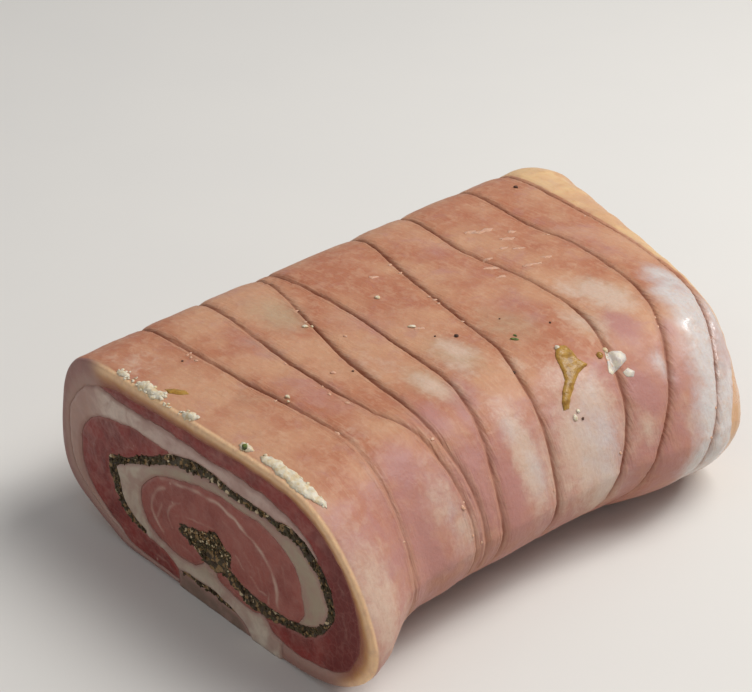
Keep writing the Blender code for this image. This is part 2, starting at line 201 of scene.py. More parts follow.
# Distance of each string mark from the cut, by place round the skin from the seam.
STRING_PLACES = (14, 62, 97, 120, 142, 165, 179, 200, 219, 245)
STRINGS = ((20, 21, 21, 21, 22, 23, 22, 21, 19, 18),
           (41, 42, 40, 37, 35, 35.5, 39, 41.6, 41.6, 40),
           (60, 61, 59.5, 53, 47, 44, 43, 45.2, 45.2, 44),
           (66, 65, 64.5, 64.5, 62, 59.5, 56.5, 52.5, 51, 50),
           (94, 96, 95, 89, 84, 79.5, 75, 72.5, 70, 69),
           (111, 115, 114, 110.5, 111.5, 109, 104, 99, 91, 88),
           (135, 140, 139, 136, 136, 131, 124, 113, 102, 100),
           (151, 157, 156, 154.5, 153, 149, 143, 132, 122, 119))
END_ROWS = ((0.0, -0.2), (0.35, 0.4), (0.62, 0.5), (0.82, 0.2), (0.94, -0.3), (1.0, -1.2))
STATIONS = (0.0, 0.03, 0.07, 0.12, 0.18, 0.3, 0.45, 0.6, 0.75, 0.86, 0.93, 0.97, 1.0)

# How far each layer stands out at the cut and at the tied end.
PROUD = {"fat_band": (0.25, 0.5), "lean_over": (0.1, 1.2), "lean_side": (0.0, 1.5),
         "herb_filling": (-0.35, -0.4), "fat_spiral": (0.25, 0.9),
         "lean_core": (0.15, 1.8), "lean_tongue": (0.0, 1.4),
         "seam_herbs": (-0.3, -0.4), "seam_flap": (0.0, 0.8)}

# Fat that runs through the lean: points in the section, half width and strength.
VEINS = {
    "lean_core": (
        (((-20, 30), (-10, 33), (0, 34), (10, 32.5), (18, 29), (22, 25), (24, 20),
          (24.5, 15)), 0.65, 0.9),
        (((-14, 22), (-8, 24), (0, 25.5)), 0.4, 0.45),
        (((-18, 28), (-22, 25), (-24, 20.5), (-23, 17), (-19.5, 14)), 0.6, 0.8),
        (((-12, 26.5), (-15.5, 24), (-17, 20.5), (-16, 17.5)), 0.5, 0.5),
        (((14, 19), (17, 17), (20, 16.4)), 0.4, 0.5), (((9, 22), (12, 20)), 0.4, 0.5),
        (((12, 25), (15, 22.5)), 0.35, 0.5), (((17, 23), (18.5, 19.5)), 0.4, 0.5),
        (((26, 28), (27.5, 24)), 0.5, 0.4), (((4, 30), (8, 29)), 0.4, 0.35),
        (((-22, 18), (-21, 20), (-20, 22)), 0.5, 0.5),
        (((20, 21), (21, 17), (20.6, 14)), 0.45, 0.5),
        (((-18, 12.5), (-12, 13.6), (-7, 13)), 0.35, 0.3),
        (((8, 27), (13, 25), (16, 21)), 0.35, 0.25)),
    "lean_side": (
        (((-40, 31), (-36, 32), (-31, 33)), 0.4, 0.45),
        (((-36, 6), (-33, 6), (-30, 5)), 0.4, 0.4),
        (((-46, 30), (-48, 26), (-47, 20)), 0.4, 0.3),
        (((-26, 5), (-21, 4.6), (-17, 3.6)), 0.4, 0.35)),
    "lean_over": (
        (((45, 35), (46, 34), (47, 33)), 0.4, 0.45),
        (((47, 27), (48, 22), (47, 17)), 0.45, 0.3),
        (((-20, 47), (-6, 47.6), (8, 48)), 0.3, 0.25)),
}

# Where fat, lean or a darker tan shows through the rind: place round the skin, distance from
# the cut and half sizes both ways in millimetres, and strength.
PATCHES = {
    "white": (
        (168, 141, 9, 7, 0.85), (177, 138, 11, 8, 1.0), (187, 136, 13, 9, 1.05),
        (198, 133, 14, 10, 1.05), (210, 127, 14, 9, 1.0), (222, 122, 12, 9, 0.95),
        (190, 146, 14, 6, 1.0), (206, 139, 16, 8, 1.0), (222, 131, 14, 7, 0.95),
        (203, 88, 18, 10, 0.5), (190, 90, 9, 6, 0.4), (190, 63, 8, 4, 0.35),
        (203, 65, 12, 4.5, 0.4), (190, 115, 6, 4, 0.45), (206, 38, 10, 6, 0.3)),
    "pale": (
        (158, 70, 9, 5, 0.75), (164, 65, 8, 4, 0.6), (173, 77, 6, 4, 0.5),
        (163, 120, 11, 6, 1.0), (156, 115, 7, 4, 0.7), (170, 106, 10, 6, 0.6),
        (166, 54, 9, 4, 0.75), (172, 58, 5, 3, 0.5), (204, 82, 18, 9, 0.9),
        (216, 86, 12, 8, 0.8), (192, 90, 10, 8, 0.8), (206, 72, 16, 6, 0.6),
        (202, 97, 9, 6, 0.5), (208, 5, 18, 8, 0.75), (222, 12, 12, 8, 0.5),
        (184, 85, 8, 7, 0.55), (198, 35, 10, 6, 0.55), (208, 39, 9, 6, 0.55),
        (150, 48, 9, 3, 0.4), (198, 64, 18, 5, 0.85), (205, 103, 6, 4, 0.6),
        (207, 117, 6, 4, 0.5), (106, 6, 9, 8, 0.35), (150, 52, 14, 3, 0.35),
        (170, 26, 6, 4, 0.35), (60, 30, 14, 9, 0.4), (50, 88, 16, 12, 0.5),
        (72, 126, 14, 10, 0.5), (36, 52, 12, 10, 0.5)),
    "pink": (
        (176, 113, 7, 5, 0.9), (196, 106, 9, 6, 1.0), (203, 121, 7, 4, 0.8),
        (183, 125, 5, 3, 0.6), (190, 98, 8, 4, 0.7), (174, 57, 9, 6, 0.7),
        (205, 58, 22, 8, 0.7), (178, 45, 10, 5, 0.7), (183, 54, 8, 4, 0.7),
        (200, 46, 18, 9, 0.8), (186, 29, 10, 6, 0.7), (206, 27, 18, 7, 0.8),
        (214, 94, 10, 5, 0.8), (132, 62, 10, 5, 0.45), (150, 98, 9, 6, 0.4),
        (120, 34, 12, 5, 0.4), (150, 30, 16, 6, 0.4), (75, 50, 16, 12, 0.6),
        (60, 105, 18, 12, 0.6), (118, 104, 14, 7, 0.3), (140, 140, 14, 7, 0.4)),
    "khaki": (
        (160, 69, 12, 6, 0.75), (122, 36, 12, 5, 0.35), (162, 121, 11, 7, 0.6),
        (158, 89, 14, 8, 0.55), (128, 12, 20, 5, 0.25), (112, 49, 12, 8, 0.75),
        (165, 54, 11, 5, 0.75), (170, 106, 10, 6, 0.5), (139, 17, 9, 6, 0.35)),
    "deep": (
        (175, 12, 14, 7, 0.9), (177, 25, 12, 4, 0.9), (128, 78, 14, 8, 0.9),
        (120, 101, 16, 8, 1.0), (138, 98, 14, 7, 0.7), (150, 76, 8, 5, 0.3),
        (116, 20, 12, 8, 0.4), (212, 102, 8, 5, 0.5)),
}

# Crumbs that the knife dragged over the edge: from and to round the skin, from and to
# along the roll, how many, smallest and largest half size, in millimetres.
RIM_CRUMBS = ((105.4, 113.4, 0.5, 3.4, 16, 0.25, 0.55), (114.4, 124.4, 0.3, 3.2, 34, 0.35, 0.8),
              (125.4, 132.4, 0.2, 1.2, 10, 0.2, 0.45), (132.4, 137.4, 0.3, 2.6, 14, 0.3, 0.65),
              (152.4, 157.4, 1.2, 3.4, 8, 0.3, 0.6), (160.4, 168.4, 1.6, 4.4, 14, 0.25, 0.6),
              (168.4, 178.4, 1.2, 4.4, 22, 0.3, 0.65), (177.4, 181.8, 2.6, 4.6, 8, 0.25, 0.5))

# How much each string mark fades on the flank, from the cut on.
STRING_FADE = (0.65, 0.45, 0.35, 0.2, 0.0, 0.0, 0.0, 0.0)

# Flat flakes on the rind: height in millimetres, lumpiness, then corners as place round
# the skin and distance from the cut, in millimetres. Further down: the cells that a flake
# is cut into, how far its foot sinks in, and the parts that each of its edges has.
CREAM_FLAKES = (
    (0.8, 1.0, ((114.4, 1.2), (116.2, 0.2), (118.6, 0.6), (121, 0.1), (123.6, 0.8),
                (124.6, 2.2), (122.8, 3.3), (120.4, 2.7), (118, 3.4), (115.6, 2.6))),
    (0.6, 1.0, ((106.2, 1.2), (108.4, 0.7), (111, 1.3), (110.2, 2.6), (107.8, 2.4))),
    (0.8, 1.0, ((132.8, 0.7), (134.6, 0.1), (137, 0.7), (137.4, 2.2), (135.2, 3.0),
                (133.4, 2.0))),
    (0.7, 1.0, ((152.8, 1.9), (154.4, 1.1), (156.6, 1.7), (157.2, 3.0), (155, 3.5),
                (153.2, 3.0))),
    (0.6, 0.9, ((160.0, 2.4), (162.2, 1.2), (164.8, 1.6), (167.2, 0.9), (170, 1.1),
                (172.6, 0.5), (175.6, 0.9), (178.2, 1.4), (180.4, 2.4), (182.4, 3.6),
                (181.2, 4.6), (178.6, 4.2), (176, 4.6), (173.4, 4.1), (170.4, 4.7),
                (167.6, 4.2), (164.6, 4.8), (161.8, 4.0))))
JELLY_FLAKES = (
    (0.6, 0.5, ((174, 91.2), (175.2, 93.8), (178, 94), (180.6, 93.4), (183.2, 94.8),
                (184.4, 90.6), (186.6, 87.8), (189.4, 84.6), (192.2, 82.4), (192, 80.8),
                (190, 81.2), (187, 83.4), (184.6, 85.8), (181, 87.2), (177.6, 88.2))),
    (0.35, 0.5, ((121.6, 4.4), (123.6, 4.0), (126.2, 5.6), (127.4, 7.4), (125.4, 7.6),
                 (123, 6.0))))
WHITE_FLAKES = (
    (0.3, 0.25, ((181.4, 102.4), (182, 104.6), (183, 106.4), (184.4, 107), (185.9, 106.2),
                 (187.2, 103.2), (188.3, 100.2), (187.4, 99.4), (184.4, 100.9))),
    (0.25, 0.25, ((188, 105.2), (189.6, 106.4), (190.9, 105.2), (190.2, 103.6),
                  (188.6, 103.4))))
FLAKE_CELL = 0.4
FLAKE_SINK = 0.3
FLAKE_EDGE_PARTS = 24

# Pale flakes that stand for glints on the wet rind, as painted highlights: place round the
# skin, distance from the cut, half length, half width and turn from the string; then the
# height, lumpiness and number of corners of them all.
PAINTED_HIGHLIGHTS = ((116, 122, 3.6, 1.1, 1.1), (114, 119.4, 1.8, 0.9, 1.0), (124, 124, 2.0, 1.0, 1.1),
            (127, 119.5, 1.2, 0.6, 1.2), (130, 122, 1.6, 0.6, 1.1), (139, 124, 2.0, 0.6, 1.0),
            (139, 118, 2.8, 0.6, 1.1), (133, 109, 2.4, 0.8, 1.1), (138, 107, 1.4, 0.6, 1.2),
            (128, 112, 1.7, 0.6, 1.0), (143, 71, 1.6, 0.7, 0.9), (115, 81, 1.6, 0.8, 0.9),
            (122, 128, 1.4, 0.5, 1.1))
PAINTED_HIGHLIGHT_HIGH = 0.16
PAINTED_HIGHLIGHT_LUMPY = 0.8
PAINTED_HIGHLIGHT_CORNERS = 10

# Bits on the rind: place round the skin, distance from the cut, half sizes along the
# string, along the roll and outwards in millimetres, and turn in radians. A bit is lifted
# by a share of its height.
BIT_LIFT = 0.35
FAT_BITS = ((175, 91, 0.8, 0.7, 0.7, 0.0), (181, 103, 0.9, 0.8, 0.6, 0.4),
            (195, 83, 0.9, 0.7, 0.4, 0.2), (193.6, 84.6, 0.6, 0.5, 0.3, 0.9),
            (122, 50, 0.9, 0.6, 0.4, 0.5), (123, 51.5, 0.5, 0.4, 0.3, 0.0),
            (145, 24, 0.8, 0.5, 0.35, 0.2), (146.5, 23, 0.4, 0.4, 0.3, 0.0),
            (141, 70, 1.1, 0.6, 0.35, 0.9), (124, 74, 0.8, 0.8, 0.35, 0.0))
PALE_BITS = ((133, 54, 0.6, 0.4, 0.25, 0.1), (144, 40, 0.8, 0.6, 0.25, 0.8),
             (166, 23, 0.9, 0.5, 0.25, 0.3))
JELLY_BITS = ((182, 100, 1.0, 0.9, 0.6, 0.0),)
PEPPER_BITS = ((153, 75, 0.62, 0.55, 0.45, 0.0), (175, 76, 0.5, 0.5, 0.4, 0.0),
               (165, 98, 0.35, 0.3, 0.3, 0.0), (154, 90, 0.3, 0.25, 0.2, 0.0),
               (147, 44, 0.35, 0.3, 0.25, 0.0), (196, 85, 0.4, 0.4, 0.3, 0.0),
               (103, 150, 0.8, 0.5, 0.4, 0.3), (149, 71, 0.3, 0.3, 0.2, 0.0),
               (114, 16, 0.3, 0.3, 0.2, 0.0))
GREEN_BITS = ((165, 85, 1.2, 0.42, 0.35, 0.7), (163.8, 86.4, 0.6, 0.3, 0.3, 0.1),
              (155, 1.9, 0.9, 0.7, 1.1, 0.3))

# Loose pieces at the faces of the filling: piece, how many at the cut and at the tied
# end, smallest and largest half size in millimetres, and share in the eye of the roll.
# Then the share in the strip above the seam flap and where that is, how deep the pieces lie
# at both ends, how far they tilt, how thin they are, how far they spill past the edge and
# the turns in radians that all drawn bits may have.
FILLING_BITS = (("dark_herb_flakes", 420, 170, 0.4, 0.85, 0.25),
                ("green_herb_flakes", 200, 80, 0.35, 0.75, 0.4),
                ("spice_grains", 230, 60, 0.25, 0.6, 0.7),
                ("onion_bits", 115, 40, 0.22, 0.6, 0.75))
EYE_MIDDLE = (-2.6, 18.2)
SEAM_SHARE = 0.045
SEAM_ACROSS = (-12.5, 7.5)
SEAM_UP = (4.5, 5.8)
CUT_DEPTHS = (-0.15, 0.5)
END_DEPTHS = (-0.2, 0.4)
BIT_TILT = 0.5
BIT_FLATNESS = 0.35
BIT_SPILL = 0.12
FULL_TURN = 6.28
HALF_TURN = 3.1
DRAW_SEED = 41

# Spots of grease beside the string marks: how many, and where round the skin.
GREASE_SPOTS = 34
GREASE_AROUND = (108, 214)

# The camera of the photo: its place in millimetres from the cut, its tilt, roll and turn in
# degrees, and its focal length and width in the photo's own pixels.
CAMERA_SPOT = (311.204, -246.098, 315.531)
CAMERA_TURNS = (31.0, 1.0, 46.0)
FOCAL_PIXELS = 2000.0
PHOTO_WIDTH = 752
SENSOR = 36.0

# Square lights: name, place in metres and width. The room's own light is a pale blue.
LIGHTS = (("key", (0.30, 0.38, 0.85), 0.55), ("glint", (0.26, 0.78, 0.62), 0.12),
          ("fill", (0.15, -0.85, 0.45), 0.7))
LIGHT_AIM = (0.0, 0.0, 0.02)
ROOM_COLOUR = (0.93, 0.95, 1.0, 1.0)
ROOM_STRENGTH = 0.34
FLOOR_SIZE = 2.0
FLOOR_SHADE = (0.5, 0.5, 0.5)


def linear(code):
    """Linear colour of an sRGB hex value."""
    channels = [int(code[i:i + 2], 16) / 255 for i in (1, 3, 5)]
    return tuple(c / 12.92 if c <= 0.04045 else ((c + 0.055) / 1.055) ** 2.4
                 for c in channels)


def per(millimetres):
    """Scale of a pattern whose cells are that many millimetres wide."""
    return 1.0 / (millimetres * MM)


def curve_point(a, b, c, d, t):
    """One value on the smooth curve from b to c."""
    square = t * t
    cube = square * t
    return 0.5 * (2 * b + (c - a) * t + (2 * a - 5 * b + 4 * c - d) * square
                  + (3 * b - a - 3 * c + d) * cube)


def smooth(points, step):
    """Run a smooth open curve through the points, about one step between vertices."""
    last = len(points) - 1
    out = []
    for i in range(last):
        a = points[max(i - 1, 0)]
        b = points[i]
        c = points[i + 1]
        d = points[min(i + 2, last)]
        parts = max(1, round(math.dist(b[:2], c[:2]) / step))
        for k in range(parts):
            t = k / parts
            out.append(tuple(curve_point(a[j], b[j], c[j], d[j], t) for j in range(len(b))))
    out.append(tuple(points[last]))
    return out


def table_value(table, at):
    """Straight interpolation in a table of pairs."""
    for (x0, v0), (x1, v1) in zip(table, table[1:]):
        if at <= x1:
            return v0 + (v1 - v0) * max(at - x0, 0) / (x1 - x0)
    return table[-1][1]


def bump(distance, width):
    """Smooth hill that is 1 at no distance and nearly gone at two widths."""
    return math.exp(-(distance / width) ** 2)


def ramp(value, low, high):
    """Smooth step from 0 at low to 1 at high."""
    t = min(max((value - low) / (high - low), 0.0), 1.0)
    return t * t * (3 - 2 * t)


def rough(x, y, z, cell, seed=0.0):
    """Smooth noise about -1 to 1 whose lumps are about one cell of millimetres wide."""
    return noise.noise(Vector((x / cell + seed, y / cell - seed, z / cell + 2 * seed)))


def herb_edges():
    """Both long edges of the filling, from its middle line and half thickness."""
    left = []
    right = []
    last = len(HERB) - 1
    for i, (x, z, half) in enumerate(HERB):
        before = Vector(HERB[max(i - 1, 0)][:2])
        after = Vector(HERB[min(i + 1, last)][:2])
        here = Vector((x, z))
        d0 = (here - before).normalized() if i else (after - here).normalized()
        d1 = (after - here).normalized() if i < last else d0
        side = Vector((-(d0.y + d1.y), d0.x + d1.x)).normalized()
        reach = half / max(0.55, side.x * -d1.y + side.y * d1.x)
        left.append(tuple(here + side * reach))
        right.append(tuple(here - side * reach))
    return left, right


def back(points):
    """The same curve run the other way."""
    return tuple(reversed(points))


def chain(pieces, step):
    """Join smooth curves end to end into one closed loop."""
    loop = []
    for piece in pieces:
        for point in smooth(piece, step):
            if not loop or math.dist(point[:2], loop[-1]) > 0.1:
                loop.append(tuple(point[:2]))
    while math.dist(loop[0], loop[-1]) < 0.1:
        loop.pop()
    return loop


def outlines():
    """Closed outline of every layer inside the skin."""
    inner, outer = herb_edges()
    band = HERB_AT_BAND
    side = HERB_AT_SIDE
    tail = tuple(outer[side:]) + (SIDE_INNER[-1],)
    return {
        "fat_band": (FAT_LEFT, LEAN_UNDER, outer[band:side + 1], SIDE_OUTER),
        "lean_over": (FAT_OVER, LEAN_TIP, outer[HERB_AT_LEAN:band + 1], back(LEAN_UNDER)),
        "lean_side": (SIDE_OUTER, back(FAT_FOOT), SEAM_WALL, SIDE_INNER, back(tail)),
        "herb_filling": (EYE, EYE_FOOT, outer, back(inner)),
        "fat_spiral": (inner[6:], SIDE_INNER[::-1], FLAP_TOP, SEAM_HERB_TOP, FLAP_NOSE,
                       back(FAT_END), LEAN_TIP, back(TONGUE), back(EYE_FOOT), CORE),
        "lean_core": (CORE, back(inner[:7]), EYE),
        "lean_tongue": (TONGUE, back(outer[:4])),
        "seam_herbs": (SEAM_HERB_TOP, SEAM_HERB_LOW),
        "seam_flap": (SEAM_FOOT, SEAM_WALL, FLAP_TOP, back(SEAM_HERB_LOW), FLAP_NOSE),
    }


def end_at(x):
    """Distance from the cut to the skewed far end."""
    return END_Y - END_SKEW * x


def place(x, z, y):
    """Draw in the flank and round the far shoulder, in millimetres."""
    share = min(max((x - TUCK_FROM_X) / TUCK_SPAN, 0.0), 1.0) ** TUCK_CURVE
    reach = max(0.0, 1.0 - (end_at(x) - y) / SHOULDER)
    round_in = 1.0 - math.sqrt(max(0.0, 1.0 - min(reach, 1.0) ** 2))
    under = table_value(UNDER_TUCK, y) * max(0.0, 1.0 - z / UNDER_TOP)
    new_x = x - (table_value(FLANK_TUCK, y) + under) * share
    new_x *= 1.0 - SHOULDER_IN_X * round_in
    new_z = SHOULDER_FOOT + (z - SHOULDER_FOOT) * (1.0 - SHOULDER_IN_Z * round_in)
    if z < SHOULDER_FOOT:
        new_z = z + 0.25 * (SHOULDER_FOOT - z) * round_in
    return Vector((new_x, y, new_z))


def row_point(point):
    """A point in millimetres from the cut, in the row frame in metres."""
    return Vector((point.x - MID_X, point.y - MID_Y, max(point.z, 0.0))) * MM


def tree_of(points):
    """Search tree over points of the section."""
    tree = KDTree(len(points))
    for i, point in enumerate(points):
        tree.insert((point[0], 0.0, point[1]), i)
    tree.balance()
    return tree


def reach_to(tree, x, z):
    """Distance from a point of the section to the nearest point in the tree."""
    return tree.find((x, 0.0, z))[2]


SKIN_LOOP = smooth(SKIN + (SKIN[0],), 0.8)[:-1]
SKIN_TREE = tree_of(SKIN_LOOP)


def warp(x, z):
    """Wander of the layers in the section, the same for neighbours, none at the skin."""
    hold = ramp(reach_to(SKIN_TREE, x, z), 0.2, 4.0)
    dx = WANDER * rough(x, 3.0, z, WANDER_CELL) + FINE_WANDER * rough(x, 9.0, z, FINE_CELL)
    dz = WANDER * rough(x, 17.0, z, WANDER_CELL) + FINE_WANDER * rough(x, 29.0, z, FINE_CELL)
    return x + dx * hold, z + dz * hold


def string_at(string, place_round, total):
    """Distance of one string mark from the cut at a place round the skin."""
    knots = list(zip(STRING_PLACES, string))
    knots = [(p - total, v) for p, v in knots] + knots + [(p + total, v) for p, v in knots]
    for i in range(1, len(knots) - 2):
        if knots[i][0] <= place_round <= knots[i + 1][0]:
            t = (place_round - knots[i][0]) / (knots[i + 1][0] - knots[i][0])
            return curve_point(knots[i - 1][1], knots[i][1], knots[i + 1][1],
                               knots[i + 2][1], t)
    return knots[-1][1]


def finish_piece(bm, name, material, node_names=(), slot=None, flat=False):
    """Make the object of one piece, let it ride on the roll and stand for its nodes."""
    bmesh.ops.recalc_face_normals(bm, faces=bm.faces[:])
    mesh = bpy.data.meshes.new(name)
    bm.to_mesh(mesh)
    bm.free()
    mesh.polygons.foreach_set("use_smooth", [not flat] * len(mesh.polygons))
    mesh.materials.append(material)
    piece = bpy.data.objects.new(name, mesh)
    bpy.context.scene.collection.objects.link(piece)
    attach(piece, "root")
    if node_names:
        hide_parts(*node_names)
    return piece


def skin_columns(step):
    """Columns of the skin round the section: point, outward side, place from the seam."""
    dense = smooth(SKIN + (SKIN[0],), 0.4)[:-1]
    runs = [0.0]
    for a, b in zip(dense, dense[1:]):
        runs.append(runs[-1] + math.dist(a, b))
    total = runs[-1] + math.dist(dense[-1], dense[0])
    first = SKIN[0][0] - SEAM_LEFT
    last = next(i for i in range(len(dense) - 1, 0, -1) if dense[i][0] > SEAM_RIGHT)
    count = round((runs[last] - first) / step)
    columns = []
    at = 0
    for k in range(count + 1):
        run = first + (runs[last] - first) * k / count
        while at < len(runs) - 2 and runs[at + 1] < run:
            at += 1
        t = (run - runs[at]) / (runs[at + 1] - runs[at])
        a, b = dense[at], dense[at + 1]
        way = Vector((b[0] - a[0], b[1] - a[1])).normalized()
        columns.append((a[0] + (b[0] - a[0]) * t, a[1] + (b[1] - a[1]) * t,
                        -way.y, way.x, run))
    return columns, total


def bay_level(bay, pillow):
    """How far the skin swells in the middle between two strings."""
    return max(pillow * min(1.0, (bay - BAY_LEAST) / BAY_SPAN), BAY_SINK)


def row_places(marks, end):
    """Rows of one column: distance from the cut, close together at the strings."""
    rows = list(CUT_ROWS)
    edges = [CUT_ROWS[-1]] + list(marks) + [end]
    for i, (low, high) in enumerate(zip(edges, edges[1:])):
        bay = high - low
        reach = min(MARK_REACH, 0.3 * bay)
        head = [low + reach * t for t in MARK_ROWS] if i else []
        tail = [high - reach * t for t in back(MARK_ROWS)] if i < len(marks) else []
        start = low + reach if i else low
        stop = high - reach if i < len(marks) else high
        parts = BAY_PARTS[(i > 0) + (i == len(marks))]
        rows += head
        rows += [start + (stop - start) * k / parts for k in range(1, parts)]
        rows += tail + [high]
    return rows


def skin_push(column, y, marks, sizes):
    """Outward move of the skin at one place, how deep in a crease it lies, and how near
    a crease is."""
    x, z, _, _, run = column
    foot = 1.0 - FOOT_HOLD * (1.0 - ramp(z, *FOOT_HEIGHTS))
    flank = ramp(run, *FLANK)
    pillow = sizes.pillow / MM * (0.7 + 0.5 * flank)
    # The swell between two strings, and the gathered skin of the tied end.
    level = 0.0
    if y < marks[0]:
        level = FIRST_SWELL * math.sin(math.pi * y / marks[0])
    elif y < marks[-1]:
        for low, high in zip(marks, marks[1:]):
            if y <= high:
                t = (y - low) / (high - low)
                level = bay_level(high - low, pillow) * (1 - abs(2 * t - 1) ** 2.6)
                break
    else:
        share = (y - marks[-1]) / (end_at(x) - marks[-1])
        level = table_value(END_ROWS, share)
        level += END_FOLD * ramp(share, 0.05, 0.5) * rough(run, y / 4.0, 2.0, 6.5, 4.2)
    # The crease under the nearest string, soft at its sides, with a lip before it.
    nearest = min(marks, key=lambda mark: abs(y - mark))
    dip = abs(y - nearest)
    order = marks.index(nearest)
    seed = order * 7.3
    strength = (1.0 + 0.6 * rough(run, seed, 4.0, 26.0) + 0.35 * rough(run, seed, 8, 6.0)) * (
        1.0 - STRING_FADE[order] * ramp(run, *FADE_FLANK))
    width = sizes.crease_width / MM * (1.0 + 0.4 * rough(run, seed, 2.0, 9.0) + 0.3 * flank)
    sharp = math.exp(-(dip / width) ** 1.7)
    lip = 0.12 * bump(dip - 1.7 * width, 0.5) if y < nearest else 0.0
    soft = 0.18 + 0.14 * flank
    out = level + lip - foot * strength * sizes.crease_depth / MM * (
        soft * bump(dip, 1.7) + (1 - soft) * sharp)
    # Waves and grain of the rind, then puckers beside the string.
    out += foot * sum(high * rough(x, y, z, cell, turn) for high, cell, turn in RIND_WAVES)
    pucker = rough(run / 1.5, y / 7.0, seed, 1.0, 5.5)
    out += foot * PUCKER * pucker * max(0.0, bump(dip, 3.4) - 0.8 * sharp)
    # Lumps of the fat that shows white, and the rind's rounded edge at the cut.
    fatty = fat_lumps(run, y)
    if fatty > 0.02:
        lump = max(0.0, rough(x, y, z, 4.2, 9.4)) + 0.5 * max(0.0, rough(x, y, z, 1.9, 4.4))
        out += foot * fatty * FAT_LUMP * lump
    if y < EDGE_REACH:
        lip = y / EDGE_REACH
        out = out * ramp(y, 0, EDGE_REACH) - EDGE_DROP * (1 - math.sqrt(1 - (1 - lip) ** 2))
    return out, min(1.0, sharp * strength), bump(dip, 2.6)


def fat_lumps(run, y):
    """How much lumpy fat shows through the rind at one place."""
    return max(0.0, patch_value("white", run, y) - 0.25)


def patch_value(tag, around, along):
    """Strongest of the patches of one kind at one place of the skin."""
    best = 0.0
    for a, y, ra, ry, strength in PATCHES[tag]:
        reach = math.hypot((around - a) / ra, (along - y) / ry)
        if reach < 2.2:
            best = max(best, strength * math.exp(-reach ** 2))
    return best


def skin_mesh(sizes):
    """Skin and back fat: grown from a grid, with cut rims, inner wall and seam sides."""
    columns, total = skin_columns(sizes.column_step / MM)
    marks = [[string_at(string, column[4], total) for string in STRINGS]
             for column in columns]
    rows = [row_places(m, end_at(column[0])) for m, column in zip(marks, columns)]
    wide, long = len(columns), len(rows[0])
    inside = smooth(FAT_FOOT + FAT_LEFT[1:] + FAT_OVER[1:], 0.25)
    inside_tree = tree_of(inside)
    walls = [inside[inside_tree.find((column[0], 0, column[1]))[1]] for column in columns]
    walls[0] = inside[0]
    walls[-1] = inside[-1]
    for _ in range(WALL_PASSES):
        walls = [walls[0]] + [((a[0] + 2 * b[0] + c[0]) / 4, (a[1] + 2 * b[1] + c[1]) / 4)
                              for a, b, c in zip(walls, walls[1:], walls[2:])] + [walls[-1]]
    walls = [warp(x - WALL_GAP * nx, z - WALL_GAP * nz)
             for (x, z), (_, _, nx, nz, _) in zip(walls, columns)]

    bm = bmesh.new()
    column_tag = bm.verts.layers.int.new("column")
    crease, cut, around, along, inward, end, near = (
        bm.verts.layers.float.new(tag)
        for tag in ("crease", "cut", "around", "along", "inward", "end", "near"))
    bmesh.ops.create_grid(bm, x_segments=wide - 1, y_segments=long - 1, size=0.5)
    near_edge = {}
    far_edge = {}
    for vertex in bm.verts:
        i = round((vertex.co.x + 0.5) * (wide - 1))
        k = round((vertex.co.y + 0.5) * (long - 1))
        column = columns[i]
        y = rows[i][k]
        out, deep, beside = skin_push(column, y, marks[i], sizes)
        point = place(column[0], column[1], y)
        point.x += column[2] * out
        point.z += column[3] * out
        vertex.co = point
        vertex[column_tag] = i
        vertex[around] = column[4]
        vertex[along] = y
        tied = ramp(column[4], *TIED_FLANK)
        bare = end_at(column[0]) - TIED_TAN - TIED_TAN_LOW * ramp(column[4], *LOW_FLANK)
        start = (1 - tied) * (marks[i][-1] + 0.8) + tied * bare
        vertex[end] = ramp(y, start, start + 1.2)
        # The crease mask, also at the fold where the tied end starts, carries the painted shade
        # of the string marks.
        vertex[crease] = max(deep, 0.6 * tied * bump(y - start, 0.5))
        vertex[near] = beside
        vertex[cut] = 1.0 - ramp(y, 0.2, 1.7)
        if k == 0:
            near_edge[vertex] = i
        if k == long - 1:
            far_edge[vertex] = i

    def grow(ends, where, is_cut, depth=1.0):
        """Extrude a run of edges once and put its new vertices where the rule says."""
        edges = [e for e in bm.edges if e.verts[0] in ends and e.verts[1] in ends]
        made = bmesh.ops.extrude_edge_only(bm, edges=edges)["geom"]
        fresh = {v: v[column_tag] for v in made if isinstance(v, bmesh.types.BMVert)}
        for vertex, i in fresh.items():
            vertex.co = where(i)
            vertex[cut] = is_cut
            vertex[inward] = depth
            vertex[crease] = 0.0
            vertex[near] = 0.0
        return fresh

    def wall_point(i, share):
        """A point of the inner wall at a share of the way to the tied end."""
        return place(*walls[i], share * end_at(walls[i][0]))

    def grow_rim(ends, share, way):
        """Extrude one cut rim to the inner wall, a little crowned and rough."""
        rim = {i: vertex.co.copy() for vertex, i in ends.items()}
        for step in range(1, RIM_RINGS + 1):
            t = step / RIM_RINGS

            def worn(i):
                point = rim[i].lerp(wall_point(i, share), t)
                wear = sum(high * rough(*point, cell, turn) for high, cell, turn in RIM_LUMPS)
                point.y += way * math.sin(math.pi * t) * (RIM_CROWN + RIM_WEAR * wear)
                return point
            ends = grow(ends, worn, 1.0, t)
        return ends

    ends = grow_rim(near_edge, 0.0, -1)
    for station in STATIONS[1:]:
        ends = grow(ends, lambda i, share=station: wall_point(i, share), 0.0)
    grow_rim(far_edge, 1.0, 1)
    bmesh.ops.remove_doubles(bm, verts=bm.verts[:], dist=0.002)
    open_edges = [e for e in bm.edges if e.is_boundary]
    bmesh.ops.holes_fill(bm, edges=open_edges, sides=0)
    bmesh.ops.triangulate(bm, faces=[f for f in bm.faces if len(f.verts) > 4])
    for vertex in bm.verts:
        vertex.co = row_point(vertex.co)
    return bm


# Places round the skin half a millimetre apart, for what lies on it.
SKIN_SPOTS, SKIN_ROUND = skin_columns(0.5)


